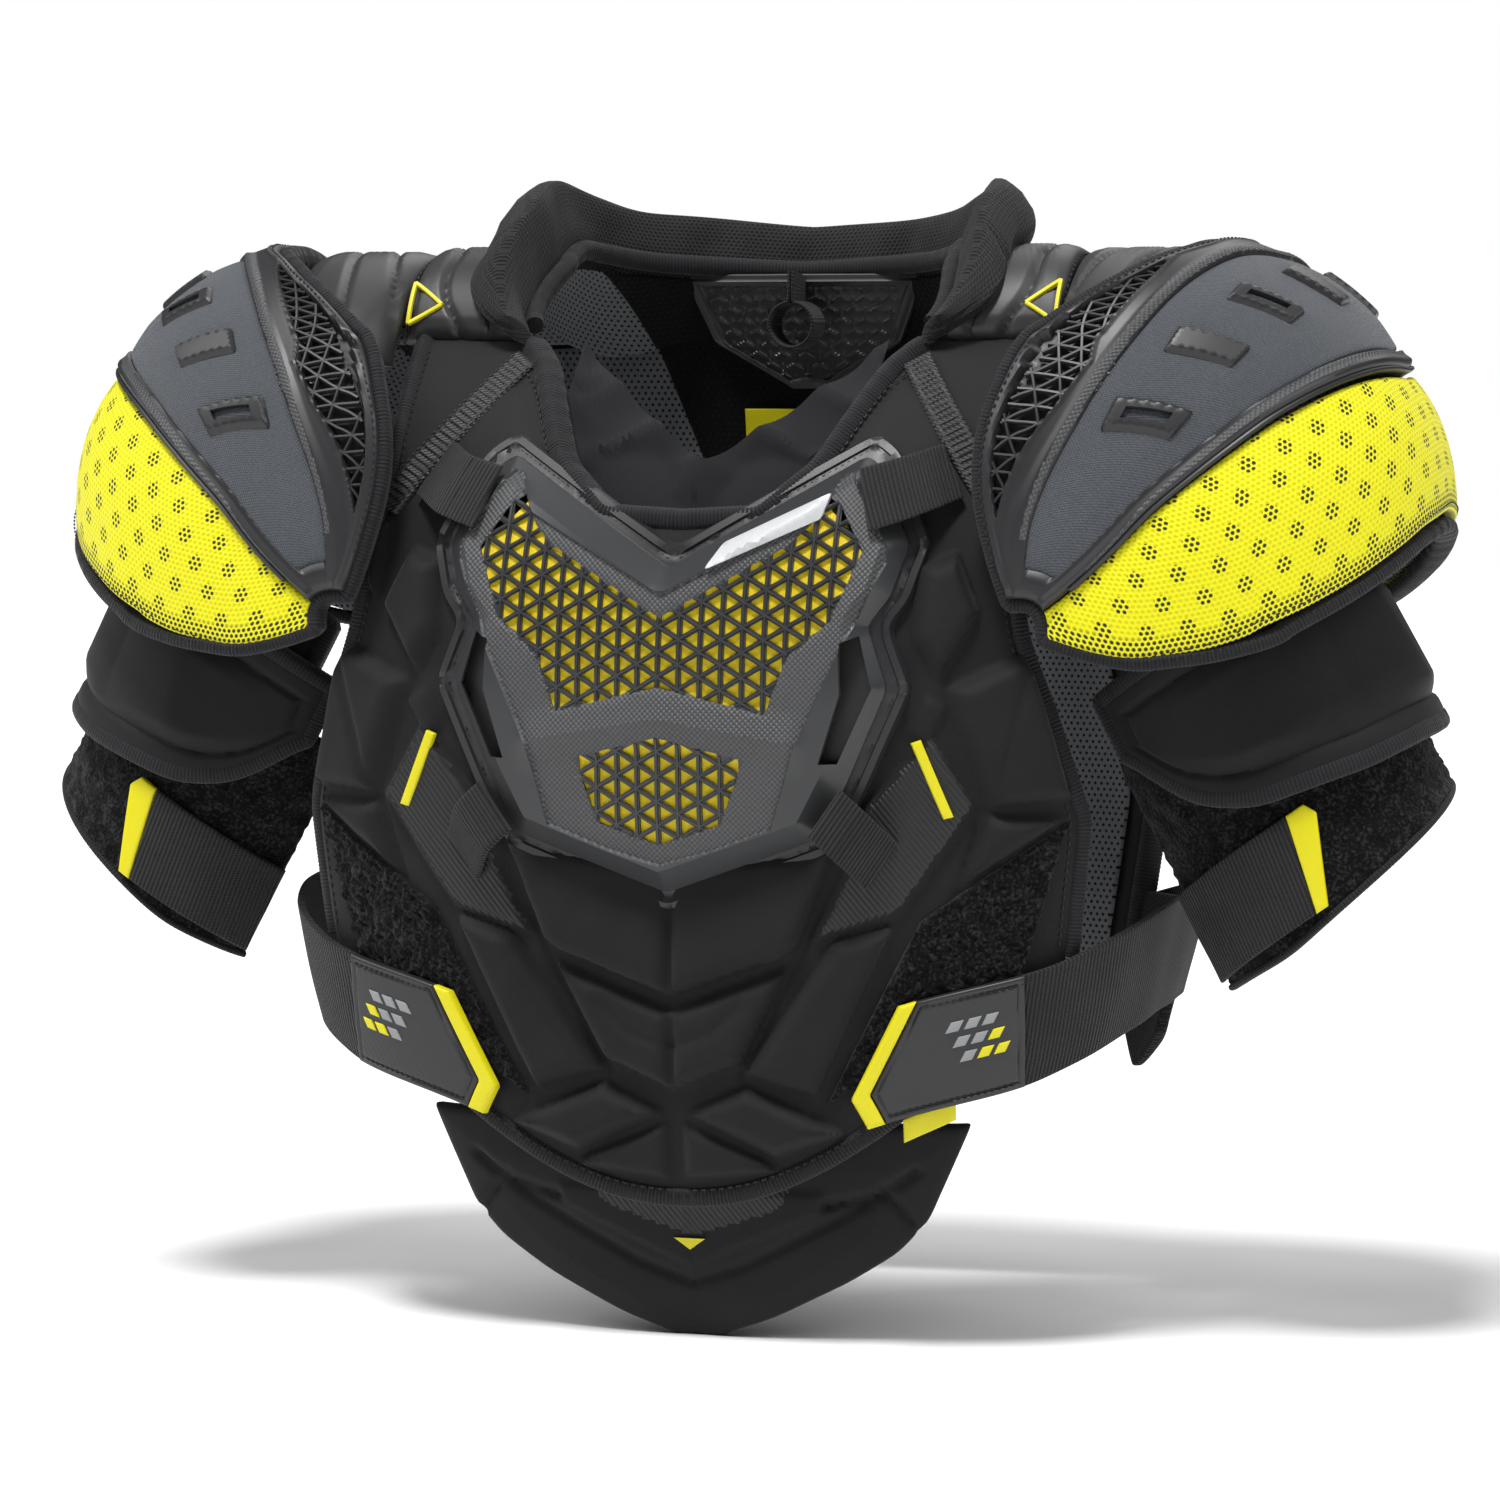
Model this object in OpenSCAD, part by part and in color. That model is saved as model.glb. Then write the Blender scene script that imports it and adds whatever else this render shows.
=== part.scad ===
// Ice hockey shoulder pads, senior large.
// +Z is up, the chest faces -Y and +X is the wearer's left. The origin is the middle of the
// shoulder line. Soft layers are curved solids between two skins that follow the body.

/* [Torso] */
// Half the inner width of the chest at the armpits
chest_half_w = 192; // [186:1:196]
// Inner depth of the chest in front of the shoulder line
chest_front = 105; // [98:1:110]
// Inner depth of the back behind the shoulder line
chest_back = 105; // [98:1:110]
// Thickness of the foam in the chest and back panels
vest_foam = 9; // [7:0.5:9]
// Height of the moulded foam blocks above the panels
block_rise = 8; // [5:0.5:8]

/* [Shoulder caps] */
// Sideways reach of a cap from its front and back tips
cap_reach = 161; // [157:1:164]
// Upward reach of a cap from its front and back tips
cap_rise = 168; // [165:1:170]
// Half the front to back length of a cap
cap_half_length = 118; // [117:1:120]

/* [Arms] */
// Outward tilt of the arm guards from the vertical
arm_tilt = 28; // [26:1:30]
// Half the width of the arm wrap across the arm
arm_half_w = 64; // [62:1:65]
// Half the depth of the arm wrap from front to back
arm_half_d = 52; // [50:1:53]

/* [Neck] */
// Inner radius of the hanging loop
loop_r = 9.4; // [8:0.1:10]
// Width of the hanging loop's ribbon
loop_w = 20; // [15:1:20]

/* [Hidden] */

black = [0.07, 0.07, 0.08];
charcoal = [0.16, 0.16, 0.17];
slate = [0.33, 0.35, 0.38];
yellow = [0.93, 0.9, 0.05];
white = [0.8, 0.8, 0.8];

lining_t = 2;
skin_gap = 1;
vest_in = lining_t + skin_gap;
vest_out = vest_in + vest_foam;
block_in = vest_out + skin_gap;
block_out = block_in + block_rise;
patch_out = block_in + 2;
strap_in = patch_out + skin_gap;
strap_out = strap_in + 3;
tab_out = strap_in + 4;
roundness = 2 / 3;
cap_roundness = 0.8;
cap_depth_roundness = 2 / 2.3;
cap_tip = [150, 2, -125];
arm_centre = [248, -14, -205];

// ---- curves and solids -------------------------------------------------------------------

function mix(a, b, t) = a + (b - a) * t;
function bent(x, e) = sign(x) * pow(abs(x), e);
function flat_list(rows) = [for (row = rows) for (p = row) p];

// A grid of points on shape(u, v, d), for u and v from 0 to 1 at offset d.
function skin(shape, nu, nv, d) =
    [for (i = [0:nu]) [for (j = [0:nv]) shape(i / nu, j / nv, d)]];

// The closed solid between two skins of the same grid.
module between_skins(outer, inner) {
    rows = len(outer);
    cols = len(outer[0]);
    count = rows * cols;
    points = concat(flat_list(outer), flat_list(inner));
    top = [for (i = [0:rows - 2]) for (j = [0:cols - 2])
        let (a = i * cols + j, b = a + cols)
            each [[a, a + 1, b + 1], [a, b + 1, b]]];
    bottom = [for (f = top) [f[2] + count, f[1] + count, f[0] + count]];
    rim = concat(
        [for (j = [0:cols - 1]) j],
        [for (i = [1:rows - 1]) i * cols + cols - 1],
        [for (j = [cols - 2:-1:0]) (rows - 1) * cols + j],
        [for (i = [rows - 2:-1:1]) i * cols]
    );
    sides = [for (k = [0:len(rim) - 1])
        let (a = rim[k], b = rim[(k + 1) % len(rim)])
            each [[b, a, a + count], [b, a + count, b + count]]];
    polyhedron(points, concat(top, bottom, sides));
}

// A layer of shape(u, v, d) from offset inner_d to offset outer_d.
module layer(shape, inner_d, outer_d, nu, nv) {
    between_skins(skin(shape, nu, nv, outer_d), skin(shape, nu, nv, inner_d));
}

module both_sides() {
    children();
    mirror([1, 0, 0]) children();
}

// ---- the body shape ----------------------------------------------------------------------

armpit_z = -180;
function half_w(z) = z > armpit_z
    ? chest_half_w + 15 * pow((z - armpit_z) / 170, 2)
    : chest_half_w - 28 * pow((armpit_z - z) / 150, 1.5);
function front_depth(z) = z > -160
    ? chest_front - 74 * pow((z + 160) / 148, 2.3)
    : chest_front - 16 * pow((z + 160) / 220, 2);
function back_depth(z) = z > -120
    ? chest_back - 14 * pow((z + 120) / 120, 2)
    : chest_back - 18 * pow((z + 120) / 210, 2);

// Angle round the torso at which the outer face of the vest reaches x.
function angle_at(x, z) =
    sign(x) * asin(pow(min(1, abs(x) / (half_w(z) + vest_out)), 1 / roundness));

// Point at angle a round the torso: 0 is the front, 90 is +X and 180 is the back.
function torso(a, z, d) =
    let (depth = cos(a) > 0 ? front_depth(z) : back_depth(z))
        [(half_w(z) + d) * bent(sin(a), roundness), -(depth + d) * bent(cos(a), roundness), z];
function front(x, z, d) = torso(angle_at(x, z), z, d);
function back(x, z, d) = torso(180 - angle_at(x, z), z, d);

// ---- chest -------------------------------------------------------------------------------

front_side = [[-380, 128], [-330, 146], [-290, 158], [-260, 165], [-205, 171], [-160, 158],
    [-130, 147], [-70, 137], [0, 140]];
neckline = [[0, -80], [0.25, -78], [0.42, -58], [0.56, -17], [0.64, -6], [1, -4]];
function hem_z(u) = -366 + 100 * pow(abs(u), 2.2);
function front_panel(u, v, d) =
    let (s = 2 * u - 1, z = mix(hem_z(s), lookup(abs(s), neckline), v))
        front(s * lookup(z, front_side), z, d);

module front_vest() {
    color(black) layer(function (u, v, d) front_panel(u, v, d), vest_in, vest_out, 28, 18);
}

module front_lining() {
    inset = 0.02;
    color(charcoal) layer(
        function (u, v, d) front_panel(mix(inset, 1 - inset, u), mix(inset, 1 - inset, v), d),
        -0.4, lining_t - 0.4, 24, 12);
}

// A foam block on the +X half of the front, from its four corners in x and z.
module front_block(corners, inner_d, outer_d, nu = 4, nv = 5) {
    layer(
        function (u, v, d)
            let (p = mix(mix(corners[0], corners[1], u), mix(corners[3], corners[2], u), v))
                front(p[0], p[1], d),
        inner_d, outer_d, nu, nv);
}

module rib_pads() {
    color(black) both_sides() {
        front_block([[134, -199], [165, -196], [150, -133], [117, -150]], block_in, block_out);
        front_block([[113, -143], [131, -116], [120, -100], [105, -122]], block_in, block_out);
        front_block([[114, -233], [165, -203], [134, -204], [124, -208]], block_in, block_out);
    }
}

module abdomen_pads() {
    color(black) both_sides() {
        front_block([[0.5, -300], [48, -277], [60, -262], [0.5, -281]], block_in, block_out);
        front_block([[0.5, -326], [34, -309], [46, -282], [0.5, -304]], block_in, block_out);
        front_block([[38, -306], [64, -322], [97, -252], [68, -264]], block_in, block_out);
        front_block([[2, -358], [74, -336], [32, -316], [2, -332]], block_in, block_out);
    }
}

loop_patch = [[66, -326], [146, -270], [165, -206], [107, -247]];
module loop_patches() {
    color(black) both_sides() front_block(loop_patch, block_in, patch_out, 8, 6);
}

binding_h = 6;
module hem_binding() {
    color(charcoal) layer(
        function (u, v, d)
            let (s = 2 * u - 1, z = hem_z(s) - 0.6 - binding_h * (1 - v))
                front(s * lookup(hem_z(s), front_side), z, d),
        vest_in - 1, vest_out + 2, 32, 1);
}

module armhole_bindings() {
    top_z = -6;
    low_z = -264;
    color(charcoal) both_sides() layer(
        function (u, v, d)
            let (z = mix(low_z, top_z, v), edge = angle_at(lookup(z, front_side), z))
                torso(edge + mix(0.8, 3, u), z, d),
        vest_in, vest_out, 1, 20);
}

module size_tag() {
    color(yellow) front_block([[97, -339], [118, -330], [118, -320.5], [97, -329]],
        vest_out + 3, vest_out + 3.7, 2, 1);
}

gusset_half_w = 74;
module neckline_gusset() {
    low_z = -104;
    color(black) layer(
        function (u, v, d)
            let (s = 2 * u - 1, top_z = -58 + 36 * pow(abs(s), 1.5))
                front(gusset_half_w * s, mix(low_z, top_z, v), d),
        -5.4, -3.4, 12, 4);
}

module clavicle_bands() {
    color(charcoal) both_sides()
        front_block([[130, -80], [141, -74], [92, -10], [82, -16]], block_in, block_in + 2.5, 2, 8);
}

// ---- neck --------------------------------------------------------------------------------

collar_end = 130;
collar_half_w = 92;
collar_half_d = 71;
collar_y = 21;
collar_seam = [[0, 20], [50, 23], [80, 26], [105, 14], [120, 0], [130, -8]];
collar_height = [[0, 26], [45, 30], [75, 40], [95, 42], [112, 32], [124, 18], [130, 10]];
function collar(g, up, d) = [
    (collar_half_w + 9 * up * up + d) * sin(g),
    collar_y + (collar_half_d + 7 * up * up + d) * cos(g),
    lookup(abs(g), collar_seam) + up * lookup(abs(g), collar_height)
];

module collar_pad() {
    color(charcoal) layer(
        function (u, v, d) collar(mix(collar_end, -collar_end, u), v, d), 0, 8, 40, 3);
}

module collar_binding() {
    color(black) layer(
        function (u, v, d)
            let (p = collar(mix(118, -118, u), 0, d)) [p[0], p[1], p[2] - 2 + 8 * v],
        -7.5, -1, 32, 1);
}

loop_y = 71;
loop_z = 2;
// A ribbon ring that faces the chest, hung from a tail under the collar.
module hang_loop() {
    ribbon = 1.6;
    tail_h = 14;
    color(black) translate([0, loop_y, loop_z]) rotate([90, 0, 0]) difference() {
        union() {
            cylinder(r = loop_r + ribbon, h = loop_w, center = true, $fn = 64);
            translate([-ribbon / 2, loop_r, -loop_w / 2]) cube([ribbon, tail_h, loop_w]);
        }
        cylinder(r = loop_r, h = loop_w + 2, center = true, $fn = 64);
    }
}

// ---- shoulders ---------------------------------------------------------------------------

// Point on the arch over the shoulder at x: p is 0 at its front foot and 180 at its back foot.
crest_y = 12;
front_reach = [[85, 36], [120, 34], [140, 32], [150, 36], [160, 46], [175, 52], [201, 45]];
function yoke(x, p, d) =
    let (reach = (p < 90 ? lookup(x, front_reach) : 72 - 20 * pow((x - 85) / 120, 2)))
        [x, crest_y - (reach + d) * cos(p), -16 + (36 + d) * sin(p)];

// The same arch from x_in to x_out, where x_in follows the collar if it is 0.
module yoke_pad(x_in, x_out, p_front, p_back, d_in, d_out, nu, nv) {
    layer(
        function (u, v, d)
            let (p = mix(p_front, p_back, v), y = yoke(120, p, d)[1],
                across = sqrt(1 - pow((y - collar_y) / (collar_half_d + 26), 2)),
                start = x_in > 0 ? x_in : (collar_half_w + 14) * across)
                yoke(mix(start, x_out, u), p, d),
        d_in, d_out, nu, nv);
}

module clavicle_pad_left() {
    color(charcoal) yoke_pad(0, 147, 22, 150, 3, 15, 5, 16);
}

module clavicle_pad_right() {
    mirror([1, 0, 0]) clavicle_pad_left();
}

module shoulder_bridge_left() {
    color(charcoal) yoke_pad(149, 201, 14, 150, 3, 13, 6, 16);
}

module shoulder_bridge_right() {
    mirror([1, 0, 0]) shoulder_bridge_left();
}

module shoulder_liners() {
    color(slate) both_sides() yoke_pad(104, 188, 16, 168, -4, 0, 6, 14);
}

// ---- back --------------------------------------------------------------------------------

back_side = [[-345, 130], [-280, 158], [-205, 168], [-160, 158], [-120, 146], [-70, 138],
    [15, 134]];
function back_hem_z(u) = -345 + 66 * pow(abs(u), 2.4);
back_top = [[0, 15], [0.3, 15], [0.55, 9], [0.75, -1], [1, -4]];
function back_panel(u, v, d) =
    let (s = 1 - 2 * u, z = mix(back_hem_z(s), lookup(abs(s), back_top), v))
        back(s * lookup(z, back_side), z, d);

module back_vest() {
    color(black) layer(function (u, v, d) back_panel(u, v, d), vest_in, vest_out, 24, 14);
}

module back_lining() {
    inset = 0.02;
    color(charcoal) layer(
        function (u, v, d) back_panel(mix(inset, 1 - inset, u), mix(inset, 1 - inset, v), d),
        0, lining_t, 20, 10);
}

module back_block(corners, inner_d, outer_d, nu = 4, nv = 6) {
    layer(
        function (u, v, d)
            let (p = mix(mix(corners[0], corners[1], u), mix(corners[3], corners[2], u), v))
                back(p[0], p[1], d),
        inner_d, outer_d, nu, nv);
}

// The soft side flaps of the back that the belly straps pull forward.
module back_wings() {
    color(charcoal) both_sides() layer(
        function (u, v, d)
            let (a = mix(128, 109, u), low_z = -326 + 56 * pow(abs(u - 0.6), 1.3))
                torso(a, mix(low_z, -250, v), d + 4 * u),
        5, 11, 6, 4);
}

module spine_guard() {
    half = [[-230, 16], [-200, 30], [-90, 42], [-40, 50], [-14, 40]];
    color(charcoal) layer(
        function (u, v, d)
            let (z = mix(-230, -14, v)) back(lookup(z, half) * (1 - 2 * u), z, d),
        block_in, block_out + 2, 8, 12);
}

module scapula_pads() {
    color(black) both_sides() {
        back_block([[116, -120], [58, -104], [60, -30], [112, -34]], block_in, block_out);
        back_block([[140, -196], [42, -186], [54, -110], [118, -126]], block_in, block_out);
    }
}

module lower_back_pads() {
    color(black) both_sides() {
        back_block([[132, -268], [30, -260], [36, -196], [142, -204]], block_in, block_out);
        back_block([[110, -296], [4, -328], [4, -246], [120, -276]], block_in, block_out);
    }
}

module inner_spine_pad() {
    half = [[-34, 14], [-14, 46], [16, 60]];
    color(black) layer(
        function (u, v, d)
            let (z = mix(-34, 16, v)) back(lookup(z, half) * (2 * u - 1), z, d),
        -1, -6, 8, 4);
}

module inner_label() {
    color(yellow) back_block([[-34, -82], [34, -82], [34, -42], [-34, -42]], -1, -2, 3, 2);
}

// ---- belly straps ------------------------------------------------------------------------

// The strap climbs from its tab in front of the belly to its seam on the side of the back.
strap_half_h = 25;
strap_fold = 43;
strap_seam = 132;
tab_angle = 14;
function strap_z(a) = -323 + 57 * sin((a - tab_angle) * 1.05);
function belly_band(a, v, d) = torso(a, strap_z(a) + strap_half_h * (2 * v - 1), d);

module belly_strap_left() {
    color(charcoal) layer(
        function (u, v, d) belly_band(mix(strap_fold + 1, strap_seam, u), v, d),
        strap_in, strap_out, 14, 3);
}

module belly_strap_right() {
    mirror([1, 0, 0]) belly_strap_left();
}

module belly_tab_left() {
    color(charcoal) layer(
        function (u, v, d)
            let (nose = tab_angle + 3 + 6 * abs(2 * v - 1))
                belly_band(mix(nose, strap_fold, u), v, d),
        strap_in, tab_out, 8, 6);
}

module belly_tab_right() {
    mirror([1, 0, 0]) belly_tab_left();
}

module belly_tab_edge_left() {
    color(yellow) layer(
        function (u, v, d)
            let (nose = tab_angle + 3 + 6 * abs(2 * v - 1))
                belly_band(mix(nose - 3, nose - 0.3, u), v, d),
        strap_in, tab_out, 1, 6);
}

module belly_tab_edge_right() {
    mirror([1, 0, 0]) belly_tab_edge_left();
}

// ---- extension pad -----------------------------------------------------------------------

extension_side = [[-431, 10], [-424, 36], [-406, 76], [-392, 100], [-378, 114], [-336, 134]];
function extension(u, v, d) =
    let (z = mix(-431, -336, v)) front(lookup(z, extension_side) * (2 * u - 1), z, d);

module extension_pad() {
    color(black) layer(function (u, v, d) extension(u, v, d), -10, -2, 18, 10);
}

module extension_strip() {
    color(charcoal) layer(
        function (u, v, d) front(90 * (2 * u - 1), mix(-358, -342, v), d), -13, -11, 10, 1);
}

// ---- sternum guard -----------------------------------------------------------------------

sternum_outline = [[0, -92], [80, -44], [92, -52], [110, -90], [103, -114], [95, -124],
    [105, -150], [86, -193], [72, -219], [0, -246]];
shell_outline = [[0, -101], [78, -54], [86, -60], [101, -91], [95, -112], [86, -124], [95, -150],
    [78, -190], [66, -213], [0, -237]];
foam_outline = [[0, -114], [66, -74], [90, -94], [78, -128], [60, -176], [34, -218], [0, -222]];
upper_window = [[0, -121], [52, -91], [60, -83], [68, -67], [84, -93], [73, -122], [55, -137],
    [46, -161], [0, -150]];
lower_window = [[0, -171], [37, -180], [27, -207], [0, -216]];
side_slot = [[84, -130], [90, -148], [80, -172], [74, -170], [82, -148], [76, -132]];

// A plate of constant depth range whose outline mirrors the half outline.
module outline_prism(half) {
    rotate([90, 0, 0]) linear_extrude(200) {
        polygon(half);
        mirror([1, 0]) polygon(half);
    }
}

// The part of the chest layer from inner_d to outer_d inside the outline.
module chest_plate(half, inner_d, outer_d) {
    intersection() {
        layer(function (u, v, d) front(mix(-125, 125, u), mix(-252, -36, v), d),
            inner_d, outer_d, 12, 8);
        outline_prism(half);
    }
}

module sternum_backer() {
    color(charcoal) chest_plate(sternum_outline, block_in, block_in + 3);
}

module sternum_foam() {
    color(yellow) chest_plate(foam_outline, block_in + 4, block_in + 7);
}

module sternum_shell() {
    color(charcoal) difference() {
        chest_plate(shell_outline, block_in + 8, block_in + 14);
        outline_prism(upper_window);
        outline_prism(lower_window);
        outline_prism(side_slot);
    }
}

module sternum_badge() {
    color(white)
        front_block([[14, -98], [54, -74], [58, -65], [20, -88]], block_in + 15, block_in + 16,
            2, 1);
}

// An elastic strap over the edge of the guard, coming down to the chest at its outer end.
module sternum_strap(corners) {
    rise = [[0, 15], [0.45, 15], [1, 1]];
    color(charcoal) both_sides() layer(
        function (u, v, d)
            let (p = mix(mix(corners[0], corners[1], u), mix(corners[3], corners[2], u), v))
                front(p[0], p[1], d + lookup(u, rise)),
        block_in, block_in + 2, 8, 2);
}

module sternum_straps_upper() {
    sternum_strap([[82, -82], [119, -69], [106, -50], [74, -59]]);
}

module sternum_straps_lower() {
    sternum_strap([[60, -211], [84, -234], [97, -214], [73, -191]]);
}

// ---- shoulder caps -----------------------------------------------------------------------

// Point on a cap: p is the angle round its tips, 0 outward and 90 up; t runs 0 to 180 from
// the front tip to the back tip.
function cap(p, t, d) =
    let (r = bent(sin(t), cap_depth_roundness))
        cap_tip + [(cap_reach + d) * r * bent(cos(p), cap_roundness),
            -(cap_half_length + d) * bent(cos(t), cap_depth_roundness),
            (cap_rise + d) * r * bent(sin(p), cap_roundness)];

function from_middle(t) = abs(t - 90);
cap_hem = [[0, 12], [15, 10.5], [30, 7], [45, 3], [60, -1], [70, -5], [76, -10]];
cap_ridge = [[0, 34], [45, 39], [76, 44]];
cap_fabric_top = [[0, 60], [20, 64], [45, 73], [76, 80]];
cap_inner_front = [[0, 71], [15, 73.5], [30, 80], [45, 89.5], [60, 97], [76, 104]];
cap_inner_back = [[0, 73], [15, 70], [30, 70], [45, 74], [60, 80], [76, 92]];
cap_fabric_back = [[0, 60], [20, 58], [45, 62], [76, 72]];
tip_angle = 7;

// A layer of the cap between two edges, each a table of angle against distance from the middle.
// Behind the middle the upper edge follows high_back.
module cap_band(low, high, high_back, t_end, d_in, d_out, nu, nv) {
    layer(
        function (u, v, d)
            let (t = mix(t_end, 180 - t_end, v), k = from_middle(t),
                top = lookup(k, t < 90 ? high : high_back))
                cap(mix(top, lookup(k, low), u), t, d),
        d_in, d_out, nu, nv);
}

module cap_frame_left() {
    color(black) cap_band(cap_ridge, cap_inner_front, cap_inner_back, tip_angle, -5, 0, 8, 20);
}

module cap_frame_right() {
    mirror([1, 0, 0]) cap_frame_left();
}

module cap_fabric_left() {
    inner_ridge = [for (p = cap_ridge) [p[0], p[1] + 4]];
    color(slate) cap_band(inner_ridge, cap_fabric_top, cap_fabric_back, tip_angle + 12,
        1, 3, 5, 18);
}

module cap_fabric_right() {
    mirror([1, 0, 0]) cap_fabric_left();
}

module cap_mesh_left() {
    under_ridge = [for (p = cap_ridge) [p[0], p[1] - 1]];
    color(yellow) cap_band(cap_hem, under_ridge, under_ridge, tip_angle, -5, 0, 6, 20);
}

module cap_mesh_right() {
    mirror([1, 0, 0]) cap_mesh_left();
}

module cap_liner_left() {
    color(charcoal) cap_band(cap_hem, cap_inner_front, cap_inner_back, tip_angle,
        -12, -6.5, 10, 20);
}

module cap_liner_right() {
    mirror([1, 0, 0]) cap_liner_left();
}

module cap_binding_left() {
    over_hem = [for (p = cap_hem) [p[0], p[1] - 1]];
    under_hem = [for (p = cap_hem) [p[0], p[1] - 4]];
    color(black) cap_band(under_hem, over_hem, over_hem, tip_angle, -10.5, 1, 1, 22);
}

module cap_binding_right() {
    mirror([1, 0, 0]) cap_binding_left();
}

// ---- arm guards --------------------------------------------------------------------------

arm_down = [sin(arm_tilt), 0, -cos(arm_tilt)];
arm_out = [cos(arm_tilt), 0, sin(arm_tilt)];
arm_front = [0, -1, 0];

// Point on the arm guard: a is 0 outward and 90 in front; s runs down the arm.
function arm(a, s, d) =
    arm_centre + arm_down * s + arm_out * (arm_half_w + d) * cos(a)
        + arm_front * (arm_half_d + d) * sin(a);

wrap_start = -95;
wrap_end = 152;
// Where the wrap and the pad end down the arm, at each angle round it.
wrap_low = [[-95, 8], [-40, 10], [0, 20], [60, 37], [110, 51], [152, 53]];
pad_low = [[-88, -30], [-40, -14], [0, -7], [50, -6], [92, -12], [110, -24], [128, -55]];

module arm_wrap_left() {
    color(black) layer(
        function (u, v, d)
            let (a = mix(wrap_end, wrap_start, u))
                arm(a, mix(lookup(a, wrap_low), -52, v), d),
        -5, 0, 18, 5);
}

module arm_wrap_right() {
    mirror([1, 0, 0]) arm_wrap_left();
}

module bicep_pad_left() {
    color(black) layer(
        function (u, v, d)
            let (a = mix(128, -88, u), low = lookup(a, pad_low),
                high = -85.5 + 9 * pow(abs(a - 20) / 110, 2))
                arm(a, mix(low, high, v), d),
        2, 12, 16, 5);
}

module bicep_pad_right() {
    mirror([1, 0, 0]) bicep_pad_left();
}

hanger_top = [238, -2];
hanger_foot = [266, -90];
hanger_half_w = 16;
hanger_y = -24;

// The ribbon that hangs an arm guard from its cap.
module arm_hanger_left() {
    ribbon = 3;
    color(charcoal) translate([0, hanger_y + hanger_half_w, 0]) rotate([90, 0, 0])
        linear_extrude(2 * hanger_half_w)
            polygon([hanger_top, hanger_top + [ribbon, 0], hanger_foot + [ribbon, 0],
                hanger_foot]);
}

module arm_hanger_right() {
    mirror([1, 0, 0]) arm_hanger_left();
}

arm_strap_low = 43;
arm_strap_high = 2;
strap_tip_angle = 88;

module arm_strap_left() {
    color(charcoal) layer(
        function (u, v, d)
            arm(mix(wrap_end - 4, strap_tip_angle + 1, u), mix(arm_strap_low, arm_strap_high, v), d),
        1, 4, 8, 2);
}

module arm_strap_right() {
    mirror([1, 0, 0]) arm_strap_left();
}

module arm_tab_left() {
    color(yellow) layer(
        function (u, v, d)
            arm(mix(strap_tip_angle, strap_tip_angle - 10, u),
                mix(arm_strap_low, arm_strap_high, v), d),
        1, 4, 2, 2);
}

module arm_tab_right() {
    mirror([1, 0, 0]) arm_tab_left();
}

// ---- one node at a time ------------------------------------------------------------------

front_vest();
front_lining();
rib_pads();
abdomen_pads();
loop_patches();
hem_binding();
armhole_bindings();
size_tag();
neckline_gusset();
collar_pad();
collar_binding();
hang_loop();
clavicle_pad_left();
clavicle_pad_right();
shoulder_bridge_left();
shoulder_bridge_right();
clavicle_bands();
back_vest();
back_lining();
spine_guard();
inner_spine_pad();
shoulder_liners();
scapula_pads();
lower_back_pads();
back_wings();
belly_strap_left();
belly_strap_right();
inner_label();
sternum_backer();
sternum_foam();
sternum_shell();
sternum_badge();
sternum_straps_upper();
sternum_straps_lower();
belly_tab_left();
belly_tab_right();
belly_tab_edge_left();
belly_tab_edge_right();
extension_pad();
extension_strip();
cap_frame_left();
cap_frame_right();
cap_fabric_left();
cap_fabric_right();
cap_mesh_left();
cap_mesh_right();
cap_liner_left();
cap_liner_right();
cap_binding_left();
cap_binding_right();
arm_hanger_left();
arm_hanger_right();
bicep_pad_left();
bicep_pad_right();
arm_wrap_left();
arm_wrap_right();
arm_strap_left();
arm_strap_right();
arm_tab_left();
arm_tab_right();
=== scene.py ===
"""Ice hockey shoulder pads: the looks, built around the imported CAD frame.

Shapes are worked out in millimetres, +Z up, chest towards -Y and +X the wearer's left, and turned
into metres when an object is made. Each soft CAD solid is replaced by a finer piece on the same
curves.
"""
import math

import bpy
import numpy as np
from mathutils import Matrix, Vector
from mathutils.geometry import delaunay_2d_cdt


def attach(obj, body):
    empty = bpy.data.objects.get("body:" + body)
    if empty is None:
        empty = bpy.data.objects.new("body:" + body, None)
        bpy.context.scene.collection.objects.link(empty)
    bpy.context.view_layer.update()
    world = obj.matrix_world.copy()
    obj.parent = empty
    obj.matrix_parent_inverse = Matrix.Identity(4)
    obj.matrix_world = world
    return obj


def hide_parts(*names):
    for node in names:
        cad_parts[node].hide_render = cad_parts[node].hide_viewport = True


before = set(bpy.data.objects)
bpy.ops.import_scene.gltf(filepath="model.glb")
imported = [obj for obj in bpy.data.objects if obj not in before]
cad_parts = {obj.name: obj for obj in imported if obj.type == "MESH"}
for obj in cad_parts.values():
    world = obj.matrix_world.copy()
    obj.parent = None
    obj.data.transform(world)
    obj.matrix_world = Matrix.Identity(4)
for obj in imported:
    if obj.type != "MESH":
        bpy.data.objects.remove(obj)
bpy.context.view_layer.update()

MM = 0.001
SIDES = (("left", 1), ("right", -1))

# ---- tables of the CAD's curves (mm and degrees) -------------------------------------------

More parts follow.
